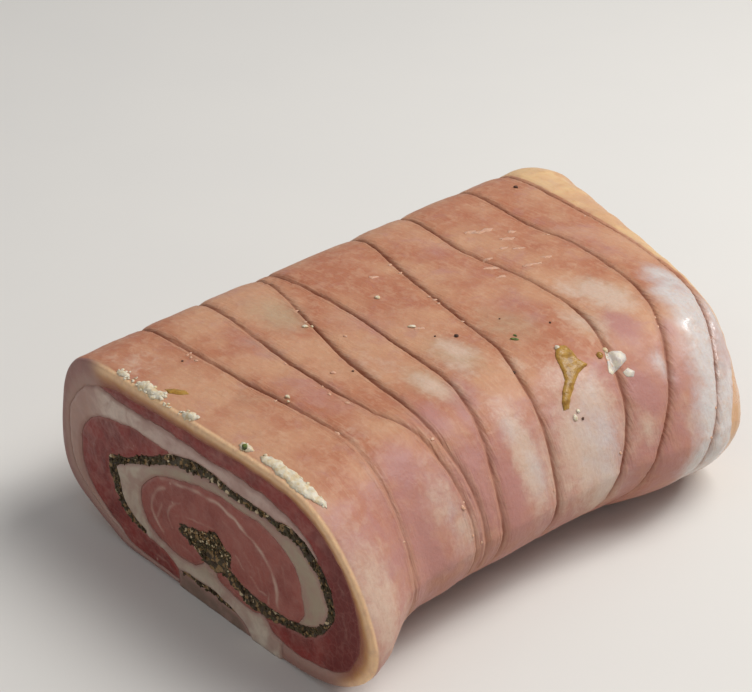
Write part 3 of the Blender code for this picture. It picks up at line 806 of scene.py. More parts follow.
def skin_frame(run, y, lift, sizes):
    """Place and turn on the rind: x along the string, y along the roll and z outwards."""
    first, last = SKIN_SPOTS[0][4], SKIN_SPOTS[-1][4]
    at = (run - first) / (last - first) * (len(SKIN_SPOTS) - 1)
    i = min(max(int(at), 0), len(SKIN_SPOTS) - 2)
    column = tuple(a + (b - a) * (at - i) for a, b in zip(SKIN_SPOTS[i], SKIN_SPOTS[i + 1]))
    x, z, nx, nz, _ = column
    marks = [string_at(string, run, SKIN_ROUND) for string in STRINGS]
    out = skin_push(column, y, marks, sizes)[0] + lift
    point = place(x, z, y) + Vector((nx, 0.0, nz)) * out
    turned = Matrix(((nz, 0.0, nx), (0.0, 1.0, 0.0), (-nx, 0.0, nz)))
    return Matrix.Translation(row_point(point)) @ turned.to_4x4()


def add_lump(bm, where, radii, turn, seed, level=2):
    """Add one lumpy grain of three half sizes in millimetres at a place and turn."""
    made = bmesh.ops.create_icosphere(bm, subdivisions=level, radius=1.0)["verts"]
    for vertex in made:
        x, y, z = vertex.co
        vertex.co *= 1.0 + 0.45 * rough(x, y, z, 1.1, seed) + 0.25 * rough(x, y, z, 0.5, seed)
    shape = Matrix.Diagonal(Vector(radii) * MM).to_4x4()
    bmesh.ops.transform(bm, matrix=where @ turn.to_matrix().to_4x4() @ shape, verts=made)


def edge_crumbs(draw):
    """Drawn crumbs of fat along the cut edge: place, half sizes and turn."""
    for low, high, near, far, count, small, large in RIM_CRUMBS:
        for _ in range(count):
            radius = draw.uniform(small, large)
            yield (draw.uniform(low, high), draw.uniform(near, far), radius,
                   radius * draw.uniform(0.6, 1.0), radius * draw.uniform(0.5, 0.8),
                   draw.uniform(0, HALF_TURN))


def grease_spots(draw):
    """Drawn spots of grease beside the string marks: place, half sizes and turn."""
    for _ in range(GREASE_SPOTS):
        run = draw.uniform(*GREASE_AROUND)
        string = string_at(draw.choice(STRINGS), run, SKIN_ROUND)
        radius = draw.uniform(0.25, 0.5)
        yield (run, string - draw.uniform(0.3, 2.5), radius * 1.5, radius, radius * 0.4,
               draw.uniform(0, HALF_TURN))


def cut_cells(bm, axes, cell):
    """Cut a flat outline into cells that size, by planes across two axes."""
    for axis in axes:
        values = [vertex.co[axis] for vertex in bm.verts]
        normal = Vector()
        normal[axis] = 1.0
        for k in range(math.floor(min(values) / cell) + 1, math.ceil(max(values) / cell)):
            bmesh.ops.bisect_plane(bm, geom=bm.verts[:] + bm.edges[:] + bm.faces[:],
                                   dist=SNAP, plane_co=normal * (k * cell), plane_no=normal)


def add_flake(bm, high, lumpy, corners, sizes):
    """Add one flat lumpy flake with these corners on the rind."""
    made = bmesh.new()
    made.faces.new([made.verts.new((run, y, 0.0)) for run, y in corners])
    cut_cells(made, (0, 1), FLAKE_CELL)
    edge_tree = KDTree(len(corners) * FLAKE_EDGE_PARTS)
    for i, (a, b) in enumerate(zip(corners, corners[1:] + corners[:1])):
        for k in range(FLAKE_EDGE_PARTS):
            t = k / FLAKE_EDGE_PARTS
            edge_tree.insert((a[0] + (b[0] - a[0]) * t, a[1] + (b[1] - a[1]) * t, 0.0), i)
    edge_tree.balance()
    top = bmesh.ops.extrude_face_region(made, geom=made.faces[:])["geom"]
    top = {g for g in top if isinstance(g, bmesh.types.BMVert)}
    for vertex in made.verts:
        run, y, _ = vertex.co
        inner = ramp(edge_tree.find(vertex.co)[2], -0.35, 0.8)
        lump = 1.0 + lumpy * (0.6 * rough(run, y, 0, 1.7, 4.0) + 0.4 * rough(run, y, 0, 0.8, 6.0))
        spot = skin_frame(run, y, high * inner * lump if vertex in top else -FLAKE_SINK, sizes)
        wander = Vector((rough(run, y, 0, 1.1, 2.2), rough(run, y, 5, 1.1, 8.2), 0.0))
        vertex.co = spot @ (wander * 0.4 * lumpy * MM)
    mesh = bpy.data.meshes.new("flake")
    made.to_mesh(mesh)
    made.free()
    bm.from_mesh(mesh)
    bpy.data.meshes.remove(mesh)


def ragged(run, y, half_long, half_wide, turn):
    """Corners of an irregular small flake that lies turned from the string."""
    corners = []
    for k in range(PAINTED_HIGHLIGHT_CORNERS):
        angle = math.tau * k / PAINTED_HIGHLIGHT_CORNERS
        swing = 1.0 + 0.8 * rough(3 * math.cos(angle), run, 3 * math.sin(angle), 2.4, y)
        a = half_long * swing * math.cos(angle)
        b = half_wide * swing * math.sin(angle)
        corners.append((run + a * math.cos(turn) - b * math.sin(turn),
                        y + a * math.sin(turn) + b * math.cos(turn)))
    return corners


def filling_spot(draw, in_eye):
    """A place drawn in the section, in the herb filling or just over its edge."""
    kind = draw.random()
    if kind < in_eye:
        i = draw.randrange(len(EYE) - 1)
        t = draw.random()
        pull = 1.06 * math.sqrt(draw.random())
        return tuple(m + (a + (b - a) * t - m) * pull
                     for a, b, m in zip(EYE[i], EYE[i + 1], EYE_MIDDLE))
    if kind < in_eye + SEAM_SHARE:
        return draw.uniform(*SEAM_ACROSS), draw.uniform(*SEAM_UP)
    at = draw.uniform(0.0, len(HERB) - 1.01)
    i = int(at)
    a, b = HERB[i], HERB[i + 1]
    way = Vector((b[0] - a[0], b[1] - a[1])).normalized()
    half = a[2] + (b[2] - a[2]) * (at - i) + BIT_SPILL
    side = draw.uniform(-half, half)
    return (a[0] + (b[0] - a[0]) * (at - i) - way.y * side,
            a[1] + (b[1] - a[1]) * (at - i) + way.x * side)


def filling_bits(draw, near, far, small, large, in_eye):
    """Joined mesh of loose pieces at both faces of the filling."""
    bm = bmesh.new()
    for k in range(near + far):
        x, z = warp(*filling_spot(draw, in_eye))
        y = draw.uniform(*CUT_DEPTHS) if k < near else end_at(x) - draw.uniform(*END_DEPTHS)
        turn = Euler((draw.uniform(-BIT_TILT, BIT_TILT), draw.uniform(0, FULL_TURN),
                      draw.uniform(-BIT_TILT, BIT_TILT)))
        radius = draw.uniform(small, large)
        radii = (radius, radius * BIT_FLATNESS, radius * draw.uniform(0.45, 0.8))
        add_lump(bm, Matrix.Translation(row_point(place(x, z, y))), radii, turn, k, 1)
    return bm


def layer_mesh(name, cell, veins=(), lumps=(0.16, 0.10), drop=0.25):
    """One layer: its outline filled, cut into small cells by planes and extruded. Its faces
    are lumpy, coarse and fine, and drop away at the edge."""
    loop = chain(outlines()[name], cell * 1.4)
    bm = bmesh.new()
    bm.faces.new([bm.verts.new((x, 0.0, z)) for x, z in loop])
    bm.normal_update()
    cut_cells(bm, (0, 2), cell)
    edge_tree = tree_of(chain(outlines()[name], 0.2))
    vein_trees = [(tree_of(smooth(points, 0.2)), half, strength)
                  for points, half, strength in veins]
    edge = bm.verts.layers.float.new("edge")
    vein = bm.verts.layers.float.new("vein")
    for vertex in bm.verts:
        x, _, z = vertex.co
        vertex[edge] = reach_to(edge_tree, x, z)
        wander = 0.5 * rough(x, 4, z, 3.5, 1.9)
        vertex[vein] = max([strength * bump(reach_to(tree, x + wander, z + wander), half)
                            * (0.7 + 0.6 * rough(x, 1, z, 4.0, 8.8))
                            for tree, half, strength in vein_trees] + [0.0])
    made = bmesh.ops.extrude_face_region(bm, geom=bm.faces[:])["geom"]
    bmesh.ops.translate(bm, verts=[g for g in made if isinstance(g, bmesh.types.BMVert)],
                        vec=(0.0, 1.0, 0.0))
    sides = [e for e in bm.edges if abs(e.verts[0].co.y - e.verts[1].co.y) > 0.5]
    bmesh.ops.subdivide_edges(bm, edges=sides, cuts=len(STATIONS) - 2)
    near, far = PROUD[name]
    cache = {}
    for vertex in bm.verts:
        x, share, z = vertex.co
        at = round(share * (len(STATIONS) - 1))
        key = (round(x, 3), round(z, 3))
        if key not in cache:
            cache[key] = warp(x, z)
        wx, wz = cache[key]
        point = place(wx, wz, STATIONS[at] * end_at(wx))
        inward = ramp(vertex[edge], 0.0, 0.9)
        relief = (lumps[0] * rough(x, at, z, 4.5, 2.0) + lumps[1] * rough(x, at, z, 1.4, 5.0)
                  - drop * (1 - inward) + 0.12 * vertex[vein])
        if at == 0:
            point.y -= near * inward + relief
        elif at == len(STATIONS) - 1:
            point.y += far * ramp(vertex[edge], 0.0, 3.0) + relief
        vertex.co = row_point(point)
    return bm


def feed(tree, node, inputs):
    """Link or set the inputs of a node."""
    for name, value in inputs.items():
        socket = node.inputs[name]
        if isinstance(value, bpy.types.NodeSocket):
            tree.links.new(value, socket)
        elif socket.type == "RGBA":
            socket.default_value = tuple(value)[:3] + (1.0,)
        else:
            socket.default_value = value


def add(tree, kind, out, inputs=None, **settings):
    """Add one shader node with its settings and its inputs, and give one output."""
    made = tree.nodes.new("ShaderNode" + kind)
    for name, value in settings.items():
        setattr(made, name, value)
    feed(tree, made, inputs or {})
    return made.outputs[out]


def start_material(name):
    """Empty material with its node tree, shader and the object's own coordinates."""
    material = bpy.data.materials.new(name)
    material.use_nodes = True
    tree = material.node_tree
    shader = tree.nodes["Principled BSDF"]
    return material, tree, shader, add(tree, "TexCoord", "Object")


def paint(tree, base, layers):
    """Lay colours over a base, each as far as its mask has gone from low to high."""
    for mask, low, high, most, tone in layers:
        share = add(tree, "MapRange", 0, {0: mask, 1: low, 2: high, 4: most},
                    interpolation_type="SMOOTHSTEP")
        base = add(tree, "Mix", 2, {0: share, 6: base, 7: tone}, data_type="RGBA")
    return base


def flesh(ior, weight, radius, depth):
    """Shader values that let light a little way in, as in damp meat and fat."""
    return {"IOR": ior, "Subsurface Weight": weight, "Subsurface Radius": radius,
            "Subsurface Scale": depth * MM}


def skin_material(look):
    """Pork rind, simmered in its tied roll and then pressed cold. Smooth, damp and a
    little see-through, tan where it is thin and pink or white where fat lies under, with
    fine wrinkles beside the strings."""
    material, tree, shader, where = start_material("Pork rind simmered and pressed")
    tags = ("pink", "khaki", "pale", "white", "deep", "end", "crease", "near", "cut",
            "inward", "tan_rim", "around", "along")
    (pink, khaki, pale, white, deep, end, crease, near, cut, inward, tan_rim, around,
     along) = (
        add(tree, "Attribute", "Fac", attribute_name=tag) for tag in tags)
    broad, cloud, small, grain = (
        add(tree, "TexNoise", 0, {"Vector": where, "Scale": per(cell), "Detail": detail,
                                  "Roughness": 0.6, "Distortion": twist})
        for cell, detail, twist in ((21, 3.0, 0.0), (6.5, 4.0, 0.4), (2.6, 3.0, 0.3),
                                    (0.9, 3.0, 0.0)))
    lumps = add(tree, "TexVoronoi", "Distance", {"Vector": where, "Scale": per(3.4)},
                feature="SMOOTH_F1")
    # Folds that run across the strings, in cells of about 7.7 by 0.9 mm.
    flow = add(tree, "VectorMath", 0,
               {0: add(tree, "CombineXYZ", 0, {0: around, 1: along}), 1: (0.13, 1.15, 0.0)},
               operation="MULTIPLY")
    streak = add(tree, "TexNoise", 0, {"Vector": flow, "Scale": 1.0, "Detail": 3.0})
    pinker, yellower, paler, whiter, deeper, tied, wrinkled = (
        add(tree, "Math", 0, {0: source, 1: share, 2: mask}, operation="MULTIPLY_ADD")
        for source, share, mask in ((cloud, 1.0, pink), (cloud, 0.6, khaki),
                                    (small, 0.7, pale), (cloud, 0.55, white),
                                    (deep, 0.16, broad), (cloud, 0.5, end),
                                    (streak, 1.0, near)))
    milky = paint(tree, look.white, ((small, 0.44, 0.70, 0.45, look.pale),
                                     (broad, 0.52, 0.66, 0.35, look.rose)))
    closed = paint(tree, look.end_tan, ((around, 165.0, 205.0, 0.7, look.rim_deep),
                                        (cloud, 0.44, 0.70, 0.5, look.tan_light),
                                        (broad, 0.46, 0.62, 0.6, look.tan),
                                        (small, 0.50, 0.75, 0.35, look.rim_deep)))
    base = paint(tree, look.tan, (
        (deeper, 0.36, 0.64, 0.9, look.tan_deep), (small, 0.42, 0.70, 0.38, look.tan_light),
        (streak, 0.50, 0.72, 0.22, look.tan_light), (cloud, 0.56, 0.70, 0.25, look.rose),
        (pinker, 0.50, 1.30, 0.9, look.rose), (yellower, 0.42, 1.15, 0.8, look.khaki),
        (paler, 0.46, 1.20, 0.95, look.pale), (whiter, 0.42, 1.0, 1.0, milky),
        (wrinkled, 1.05, 1.5, 0.30, look.tan_light), (wrinkled, 0.62, 0.30, 0.10, look.rose),
        (grain, 0.35, 0.8, 0.16, look.tan_deep), (tied, 0.45, 0.95, 1.0, closed),
        # Painted shade: darker brown in the bottom of the string marks and a little beside them.
        (near, 0.25, 1.0, 0.20, look.crease), (crease, 0.15, 1.0, 0.62, look.crease)))
    fat_side = paint(tree, look.rim_rose, ((inward, 0.15, 0.8, 1.0, look.rim_fat),))
    # The tan of the cut rind carries painted light.
    tan_side = paint(tree, look.rim_tan_lit, ((inward, 0.05, 0.5, 1.0, look.rim_deep),
                                          (inward, 0.35, 0.85, 0.85, look.rim_lean)))
    rim = paint(tree, fat_side, ((tan_rim, 0.0, 1.0, 1.0, tan_side),
                                 (small, 0.40, 0.75, 0.3, look.rose)))
    base = paint(tree, base, ((cut, 0.2, 0.9, 1.0, rim),))
    damp = add(tree, "MapRange", 0, {0: cloud, 1: 0.3, 2: 0.7, 3: 0.54, 4: 0.42})
    roughness, coat = (
        add(tree, "Math", 0, {0: white, 1: share, 2: rest}, operation="MULTIPLY_ADD")
        for share, rest in ((-0.2, damp), (0.38, 0.02)))
    raised = add(tree, "Math", 0, {0: lumps, 1: white}, operation="MULTIPLY")
    folded = add(tree, "Math", 0, {0: streak, 1: near}, operation="MULTIPLY")
    normal = FLAT
    for height, strength, depth in ((small, 0.35, 0.6), (raised, 0.4, -1.2),
                                    (folded, 0.6, 0.8), (grain, 0.35, 0.3)):
        normal = add(tree, "Bump", "Normal", {"Height": height, "Strength": strength,
                                              "Distance": depth * MM, "Normal": normal})
    feed(tree, shader, {"Base Color": base, "Roughness": roughness, "Coat Weight": coat,
                        "Coat Roughness": 0.15, "Specular IOR Level": 0.32,
                        "Normal": normal, **flesh(1.40, 0.10, (0.9, 0.45, 0.3), 2.0)})
    return material


def lean_material(look, name, tone, cloudy):
    """Brined and boiled pork lean, cut across. Damp, close grained, brownish pink, in
    soft bundles with a few pale specks of fat."""
    material, tree, shader, where = start_material(name)
    edge, vein = (add(tree, "Attribute", "Fac", attribute_name=tag)
                  for tag in ("edge", "vein"))
    broad, cloud, grain = (
        add(tree, "TexNoise", 0, {"Vector": where, "Scale": per(cell), "Detail": 3.0,
                                  "Roughness": 0.6, "Distortion": 0.3})
        for cell in (9, 3.2, 0.8))
    bundle = add(tree, "TexVoronoi", "Distance", {"Vector": where, "Scale": per(2.6)},
                 feature="DISTANCE_TO_EDGE")
    speck = add(tree, "TexVoronoi", "Distance", {"Vector": where, "Scale": per(6.5)})
    side = add(tree, "SeparateXYZ", 0, {0: where})
    base = paint(tree, tone, (
        (broad, 0.36, 0.66, cloudy, look.lean_deep), (cloud, 0.42, 0.72, 0.35, look.lean_pale),
        (side, 0.038, 0.048, 0.9, look.lean_dark),
        (bundle, 0.10, 0.0, 0.14, look.lean_pale), (grain, 0.45, 0.8, 0.16, look.lean_pale),
        (edge, 0.9, 0.0, 0.5, look.lean_pale), (speck, 0.075, 0.045, 0.5, look.vein),
        (vein, 0.0, 1.0, 1.0, look.vein)))
    roughness = add(tree, "MapRange", 0, {0: broad, 1: 0.3, 2: 0.7, 3: 0.44, 4: 0.30})
    normal = FLAT
    for height, strength, depth in ((bundle, 0.2, 0.5), (grain, 0.25, 0.25)):
        normal = add(tree, "Bump", "Normal", {"Height": height, "Strength": strength,
                                              "Distance": depth * MM, "Normal": normal})
    feed(tree, shader, {"Base Color": base, "Roughness": roughness,
                        "Specular IOR Level": 0.35, "Normal": normal,
                        **flesh(1.40, 0.10, (0.9, 0.3, 0.2), 1.5)})
    return material


def fat_material(look, name, tone, lit_low_tone):
    """Firm boiled pork fat, cut cold. Waxy, greyish cream with a pink blush beside the
    lean and faint streaks of connective tissue."""
    material, tree, shader, where = start_material(name)
    edge = add(tree, "Attribute", "Fac", attribute_name="edge")
    broad, grain = (
        add(tree, "TexNoise", 0, {"Vector": where, "Scale": per(cell), "Detail": 3.0,
                                  "Roughness": 0.6, "Distortion": 0.5})
        for cell in (7, 1.2))
    side, height = (add(tree, "SeparateXYZ", axis, {0: where}) for axis in (0, 2))
    base = paint(tree, tone, (
        # Painted light: lighter cream towards the bottom of the cut face, where the light falls.
        # The same cream also comes in towards the left.
        (height, 0.014, 0.004, 0.85, lit_low_tone), (side, -0.014, -0.030, 0.45, lit_low_tone),
        (side, -0.036, -0.050, 0.8, look.fat_side),
        (broad, 0.40, 0.66, 0.7, look.fat_blush), (grain, 0.4, 0.8, 0.22, look.fat_grey),
        (edge, 1.3, 0.1, 0.7, look.fat_blush)))
    normal = FLAT
    for height, strength, depth in ((broad, 0.3, 0.5), (grain, 0.25, 0.2)):
        normal = add(tree, "Bump", "Normal", {"Height": height, "Strength": strength,
                                              "Distance": depth * MM, "Normal": normal})
    feed(tree, shader, {"Base Color": base, "Roughness": 0.36, "Normal": normal,
                        **flesh(1.45, 0.18, (0.9, 0.6, 0.45), 2.5)})
    return material


def herb_material(look):
    """Chopped parsley and onion with crushed pepper and allspice, boiled in the roll.
    Matt dark green brown, mottled with lighter bits."""
    material, tree, shader, where = start_material("Boiled chopped parsley and spice")
    cells = {"Vector": where, "Scale": per(1.1)}
    tint = add(tree, "SeparateColor", 0, {0: add(tree, "TexVoronoi", "Color", cells)})
    cloud = add(tree, "TexNoise", 0, {"Vector": where, "Scale": per(2.4), "Detail": 3.0})
    base = paint(tree, look.herb_dark, (
        (cloud, 0.4, 0.7, 0.8, look.herb_green), (tint, 0.66, 0.74, 0.8, look.herb_brown),
        (tint, 0.96, 0.98, 0.8, look.herb_bit)))
    pits = add(tree, "TexVoronoi", "Distance", cells)
    normal = add(tree, "Bump", "Normal", {"Height": pits, "Strength": 0.7,
                                          "Distance": 0.6 * MM})
    feed(tree, shader, {"Base Color": base, "Roughness": 0.55, "Normal": normal})
    return material


def bit_material(name, tone, darker, roughness, clear):
    """Loose bits on and in the roll, dried a little at the air after the cut. Small round
    grains in one colour that goes darker in places; fat and jelly let light in and glint,
    pepper and leaf are dull."""
    material, tree, shader, where = start_material(name)
    cloud = add(tree, "TexNoise", 0, {"Vector": where, "Scale": per(1.6), "Detail": 3.0})
    grain = add(tree, "TexNoise", 0, {"Vector": where, "Scale": per(0.5), "Detail": 2.0})
    base = paint(tree, tone, ((cloud, 0.4, 0.7, 1.0, darker),))
    normal = add(tree, "Bump", "Normal", {"Height": grain, "Strength": 0.4,
                                          "Distance": 0.25 * MM})
    feed(tree, shader, {"Base Color": base, "Roughness": roughness, "Normal": normal,
                        **flesh(1.42, clear, (1.0, 0.7, 0.4), 1.2)})
    return material


def floor_material(look):
    """Matt white paint, rolled on flat. Plain, pale and without gloss, so that the eye
    stays on the meat."""
    material, tree, shader, where = start_material("Matt white paint rolled flat")
    shade = add(tree, "TexNoise", 0, {"Vector": where, "Scale": per(60)})
    base = paint(tree, look.floor, ((shade, 0.3, 0.7, 0.04, FLOOR_SHADE),))
    feed(tree, shader, {"Base Color": base, "Roughness": 0.9})
    return material


def colour(name, description, code):
    """Colour property with an sRGB hex default."""
    return bpy.props.FloatVectorProperty(name=name, description=description, size=3,
                                         subtype="COLOR", min=0.0, max=1.0,
                                         default=linear(code))


def size(name, description, default, low, high):
    """Size property, given in millimetres and kept in metres."""
    return bpy.props.FloatProperty(name=name, description=description, precision=5,
                                   default=default * MM, min=low * MM, max=high * MM,
                                   subtype="DISTANCE", unit="LENGTH")


def power(name, description, default):
    """Power property of a light in watts."""
    return bpy.props.FloatProperty(name=name, description=description, default=default,
                                   min=0.0, unit="POWER")


class SkinLook(bpy.types.PropertyGroup):
    """Sizes and colours of the rind."""
    column_step: size("Column step", "Distance between columns", 0.82, 0.6, 4.0)
    crease_width: size("Crease width", "Half width of a string mark", 0.5, 0.2, 2.0)
    crease_depth: size("Crease depth", "Depth of a string mark", 1.05, 0.3, 3.0)
    pillow: size("Pillow", "Swell of the skin between the strings", 0.6, 0.0, 2.0)
    tan: colour("Tan", "Thin rind over lean", "#bf8e6d")
    tan_deep: colour("Deep tan", "Darker rind", "#a9694c")
    tan_light: colour("Light tan", "Small lighter spots", "#cba284")
    rose: colour("Rose", "Rind with lean close under it", "#ad7a72")
    pale: colour("Pale", "Rind with fat close under it", "#c9ad98")
    white: colour("White", "Rind with thick fat under it", "#c9c1bb")
    khaki: colour("Khaki", "Dried yellow rind", "#b39b7c")
    end_tan: colour("End tan", "Rind round the tied end", "#d5b082")
    # Painted shade laid into the bottom of the string marks and beside them.
    crease: colour("Crease", "Bottom of the string marks", "#8a4f3a")
    # Tan of the cut rind, brightened as painted light, since the rim faces away from the key
    # light.
    rim_tan_lit: colour("Cut rind", "Cut edge of the rind", "#eec497")
    rim_deep: colour("Deep cut rind", "Cut edge beside the lean", "#bd8a5a")
    # Darker towards the inner edge of the cut rind, where it meets the lean.
    rim_lean: colour("Darker cut rind at the lean", "Cut edge where it meets the lean", "#8f5340")
    rim_rose: colour("Rose cut fat", "Cut back fat at the outside", "#966e65")
    rim_fat: colour("Cut back fat", "Cut back fat at the inside", "#a68578")


class MeatLook(bpy.types.PropertyGroup):
    """Colours of the lean and the fat."""
    lean: colour("Lean", "Lean in the middle", "#9b574c")
    lean_outer: colour("Outer lean", "Lean near the skin", "#8a352f")
    lean_deep: colour("Deep lean", "Darker lean", "#722d28")
    lean_dark: colour("Dark lean", "Lean by the drawn-in flank", "#66231f")
    lean_pale: colour("Pale lean", "Fibres and edges of the lean", "#a97468")
    vein: colour("Marbling", "Fat in the lean", "#c2a08f")
    fat: colour("Fat", "Fat of the spiral", "#a39079")
    fat_outer: colour("Outer fat", "Band of fat under the thin lean", "#c3a699")
    fat_blush: colour("Blush", "Fat beside lean", "#a37c70")
    fat_grey: colour("Grey fat", "Grain of the fat", "#8f8070")
    # Lighter cream of the fat, painted light towards the bottom of the cut face.
    fat_lit_low: colour("Low fat", "Fat by the underside", "#d8c8b4")
    fat_side: colour("Side fat", "Fat by the left side", "#a0705f")
    flap: colour("Flap", "Flap of belly at the seam", "#7d6455")


class HerbLook(bpy.types.PropertyGroup):
    """Colours of the filling."""
    herb_dark: colour("Dark herb", "Packed parsley", "#3b2a15")
    herb_green: colour("Green herb", "Loose parsley", "#504728")
    herb_brown: colour("Spice", "Crushed spice", "#957449")
    herb_bit: colour("Light bit", "Onion and seed", "#d2be9a")


class BitLook(bpy.types.PropertyGroup):
    """Colours of the crumbs and bits on the rind."""
    crumb: colour("Crumb", "Crumbs of fat", "#d8ccb4")
    crumb_dark: colour("Yellow crumb", "Crumbs of fat in places", "#ccb48c")
    flake: colour("Flake", "Flake of fat", "#bfb3a8")
    # Painted highlight: pale tone of the flakes that stand for glints, also used for the grease
    # spots and pale bits.
    blister: colour("Blister", "Pale spots on the rind", "#cc9d82")
    jelly: colour("Jelly", "Amber jelly", "#ab8238")
    jelly_dark: colour("Deep jelly", "Thick amber jelly", "#8c6424")
    pepper: colour("Pepper", "Cracked pepper", "#563827")
    pepper_dark: colour("Dark pepper", "Skin of the pepper", "#38241b")
    green: colour("Green bit", "Bits of parsley", "#6d7a38")
    green_dark: colour("Dark green bit", "Bits of parsley in places", "#33391a")


class StageLook(bpy.types.PropertyGroup):
    """Light and floor."""
    floor: colour("Floor", "Pale floor", "#dcd8d1")
    key: power("Key light", "Power of the key light", 8.0)
    glint: power("Small light", "Power of the small light that shows the wet fat", 1.4)
    fill: power("Fill light", "Power of the fill light", 0.6)


def paint_skin(piece):
    """Store where the rind is pink, pale, white, yellowish, deep or cut tan."""
    mesh = piece.data
    around, along = ([spot.value for spot in mesh.attributes[tag].data]
                     for tag in ("around", "along"))
    places = list(zip(around, along))
    values = {tag: [patch_value(tag, a, y) for a, y in places] for tag in PATCHES}
    values["pink"] = [max(value, LOW_PINK * ramp(a, *PINK_FLANK))
                      for value, a in zip(values["pink"], around)]
    values["tan_rim"] = [ramp(a, *TAN_FROM) * (1 - TAN_FADE * ramp(a, *TAN_TO))
                         for a in around]
    for tag, row in values.items():
        mesh.attributes.new(tag, "FLOAT", "POINT").data.foreach_set("value", row)


class RULLEPOLSE_OT_skin(bpy.types.Operator):
    """Make the rind and back fat with its string marks."""
    bl_idname = "rullepolse.skin"
    look = "rullepolse_skin"
    bl_label = "Rind and back fat"

    def execute(self, context):
        look = getattr(context.scene, self.look)
        piece = finish_piece(skin_mesh(look), "rind_and_back_fat", skin_material(look),
                             ("skin_and_back_fat",), "rind")
        paint_skin(piece)
        return {"FINISHED"}


class RULLEPOLSE_OT_lean(bpy.types.Operator):
    """Make the layers of lean."""
    bl_idname = "rullepolse.lean"
    look = "rullepolse_meat"
    bl_label = "Lean"

    def execute(self, context):
        look = getattr(context.scene, self.look)
        inner = lean_material(look, "Boiled lean pork cut across", look.lean, 0.4)
        outer = lean_material(look, "Boiled lean pork near the rind", look.lean_outer, 1.0)
        for name, material in (("lean_core", inner), ("lean_tongue", inner),
                               ("lean_over", outer), ("lean_side", outer)):
            bm = layer_mesh(name, MEAT_CELL, VEINS.get(name, ()))
            finish_piece(bm, name + "_meat", material, (name,), "lean")
        return {"FINISHED"}


class RULLEPOLSE_OT_fat(bpy.types.Operator):
    """Make the layers of fat."""
    bl_idname = "rullepolse.fat"
    look = "rullepolse_meat"
    bl_label = "Fat"

    def execute(self, context):
        look = getattr(context.scene, self.look)
        spiral = fat_material(look, "Boiled pork fat of the spiral", look.fat, look.fat_lit_low)
        band = fat_material(look, "Boiled pork fat under the lean", look.fat_outer,
                            look.fat_lit_low)
        flap = fat_material(look, "Boiled belly flap at the seam", look.flap, look.flap)
        for name, material, slot in (("fat_spiral", spiral, "fat"),
                                     ("fat_band", band, "fat"),
                                     ("seam_flap", flap, "flap")):
            bm = layer_mesh(name, MEAT_CELL, lumps=(0.12, 0.05), drop=0.15)
            finish_piece(bm, name + "_meat", material, (name,), slot)
        return {"FINISHED"}


class RULLEPOLSE_OT_filling(bpy.types.Operator):
    """Make the herb filling."""
    bl_idname = "rullepolse.filling"
    look = "rullepolse_herbs"
    bl_label = "Herb filling"

    def execute(self, context):
        look = getattr(context.scene, self.look)
        material = herb_material(look)
        for name in ("herb_filling", "seam_herbs"):
            bm = layer_mesh(name, HERB_CELL, lumps=(0.35, 0.45), drop=0.1)
            finish_piece(bm, name + "_mass", material, (name,), "herbs")
        return {"FINISHED"}


class RULLEPOLSE_OT_bits(bpy.types.Operator):
    """Make the crumbs at the cut and the bits on the rind and at the filling."""
    bl_idname = "rullepolse.bits"
    look = "rullepolse_bits"
    bl_label = "Crumbs and bits"

    def execute(self, context):
        look = getattr(context.scene, self.look)
        herbs = context.scene.rullepolse_herbs
        sizes = context.scene.rullepolse_skin
        draw = random.Random(DRAW_SEED)
        fat = FAT_BITS + tuple(edge_crumbs(draw))
        pale = PALE_BITS + tuple(grease_spots(draw))
        # Pale flakes as painted highlights, for glints on the wet rind.
        painted_highlights = [(PAINTED_HIGHLIGHT_HIGH, PAINTED_HIGHLIGHT_LUMPY, ragged(*spot)) for spot in PAINTED_HIGHLIGHTS]
        kinds = (("fat_crumbs", CREAM_FLAKES, fat, "Crumbs of cold pork fat",
                  look.crumb, look.crumb_dark, 0.45, 0.2),
                 ("pale_bits", painted_highlights, pale, "Blisters and grease on the rind",
                  look.blister, look.blister, 0.35, 0.3),
                 ("fat_flakes", WHITE_FLAKES, (), "Flakes of cold pork fat",
                  look.flake, look.crumb, 0.3, 0.2),
                 ("jelly_bits", JELLY_FLAKES, JELLY_BITS, "Amber meat jelly",
                  look.jelly, look.jelly_dark, 0.32, 0.35),
                 ("pepper_bits", (), PEPPER_BITS, "Cracked black pepper",
                  look.pepper, look.pepper_dark, 0.7, 0.0),
                 ("parsley_bits", (), GREEN_BITS, "Bits of boiled parsley",
                  look.green, look.green_dark, 0.5, 0.0))
        for name, flakes, lumps, *made_of in kinds:
            bm = bmesh.new()
            for flake in flakes:
                add_flake(bm, *flake, sizes)
            for k, (run, y, *radii, turn) in enumerate(lumps):
                where = skin_frame(run, y, radii[2] * BIT_LIFT, sizes)
                add_lump(bm, where, radii, Euler((0.0, 0.0, turn)), k)
            finish_piece(bm, name, bit_material(*made_of))
        tones = ((herbs.herb_dark, herbs.herb_green), (herbs.herb_green, herbs.herb_dark),
                 (herbs.herb_brown, herbs.herb_dark), (herbs.herb_bit, herbs.herb_brown))
        for (name, *counts), (tone, darker) in zip(FILLING_BITS, tones):
            title = name.replace("_", " ").capitalize() + " of the filling"
            material = bit_material(title, tone, darker, 0.7, 0.0)
            finish_piece(filling_bits(draw, *counts), name, material, flat=True)
        return {"FINISHED"}


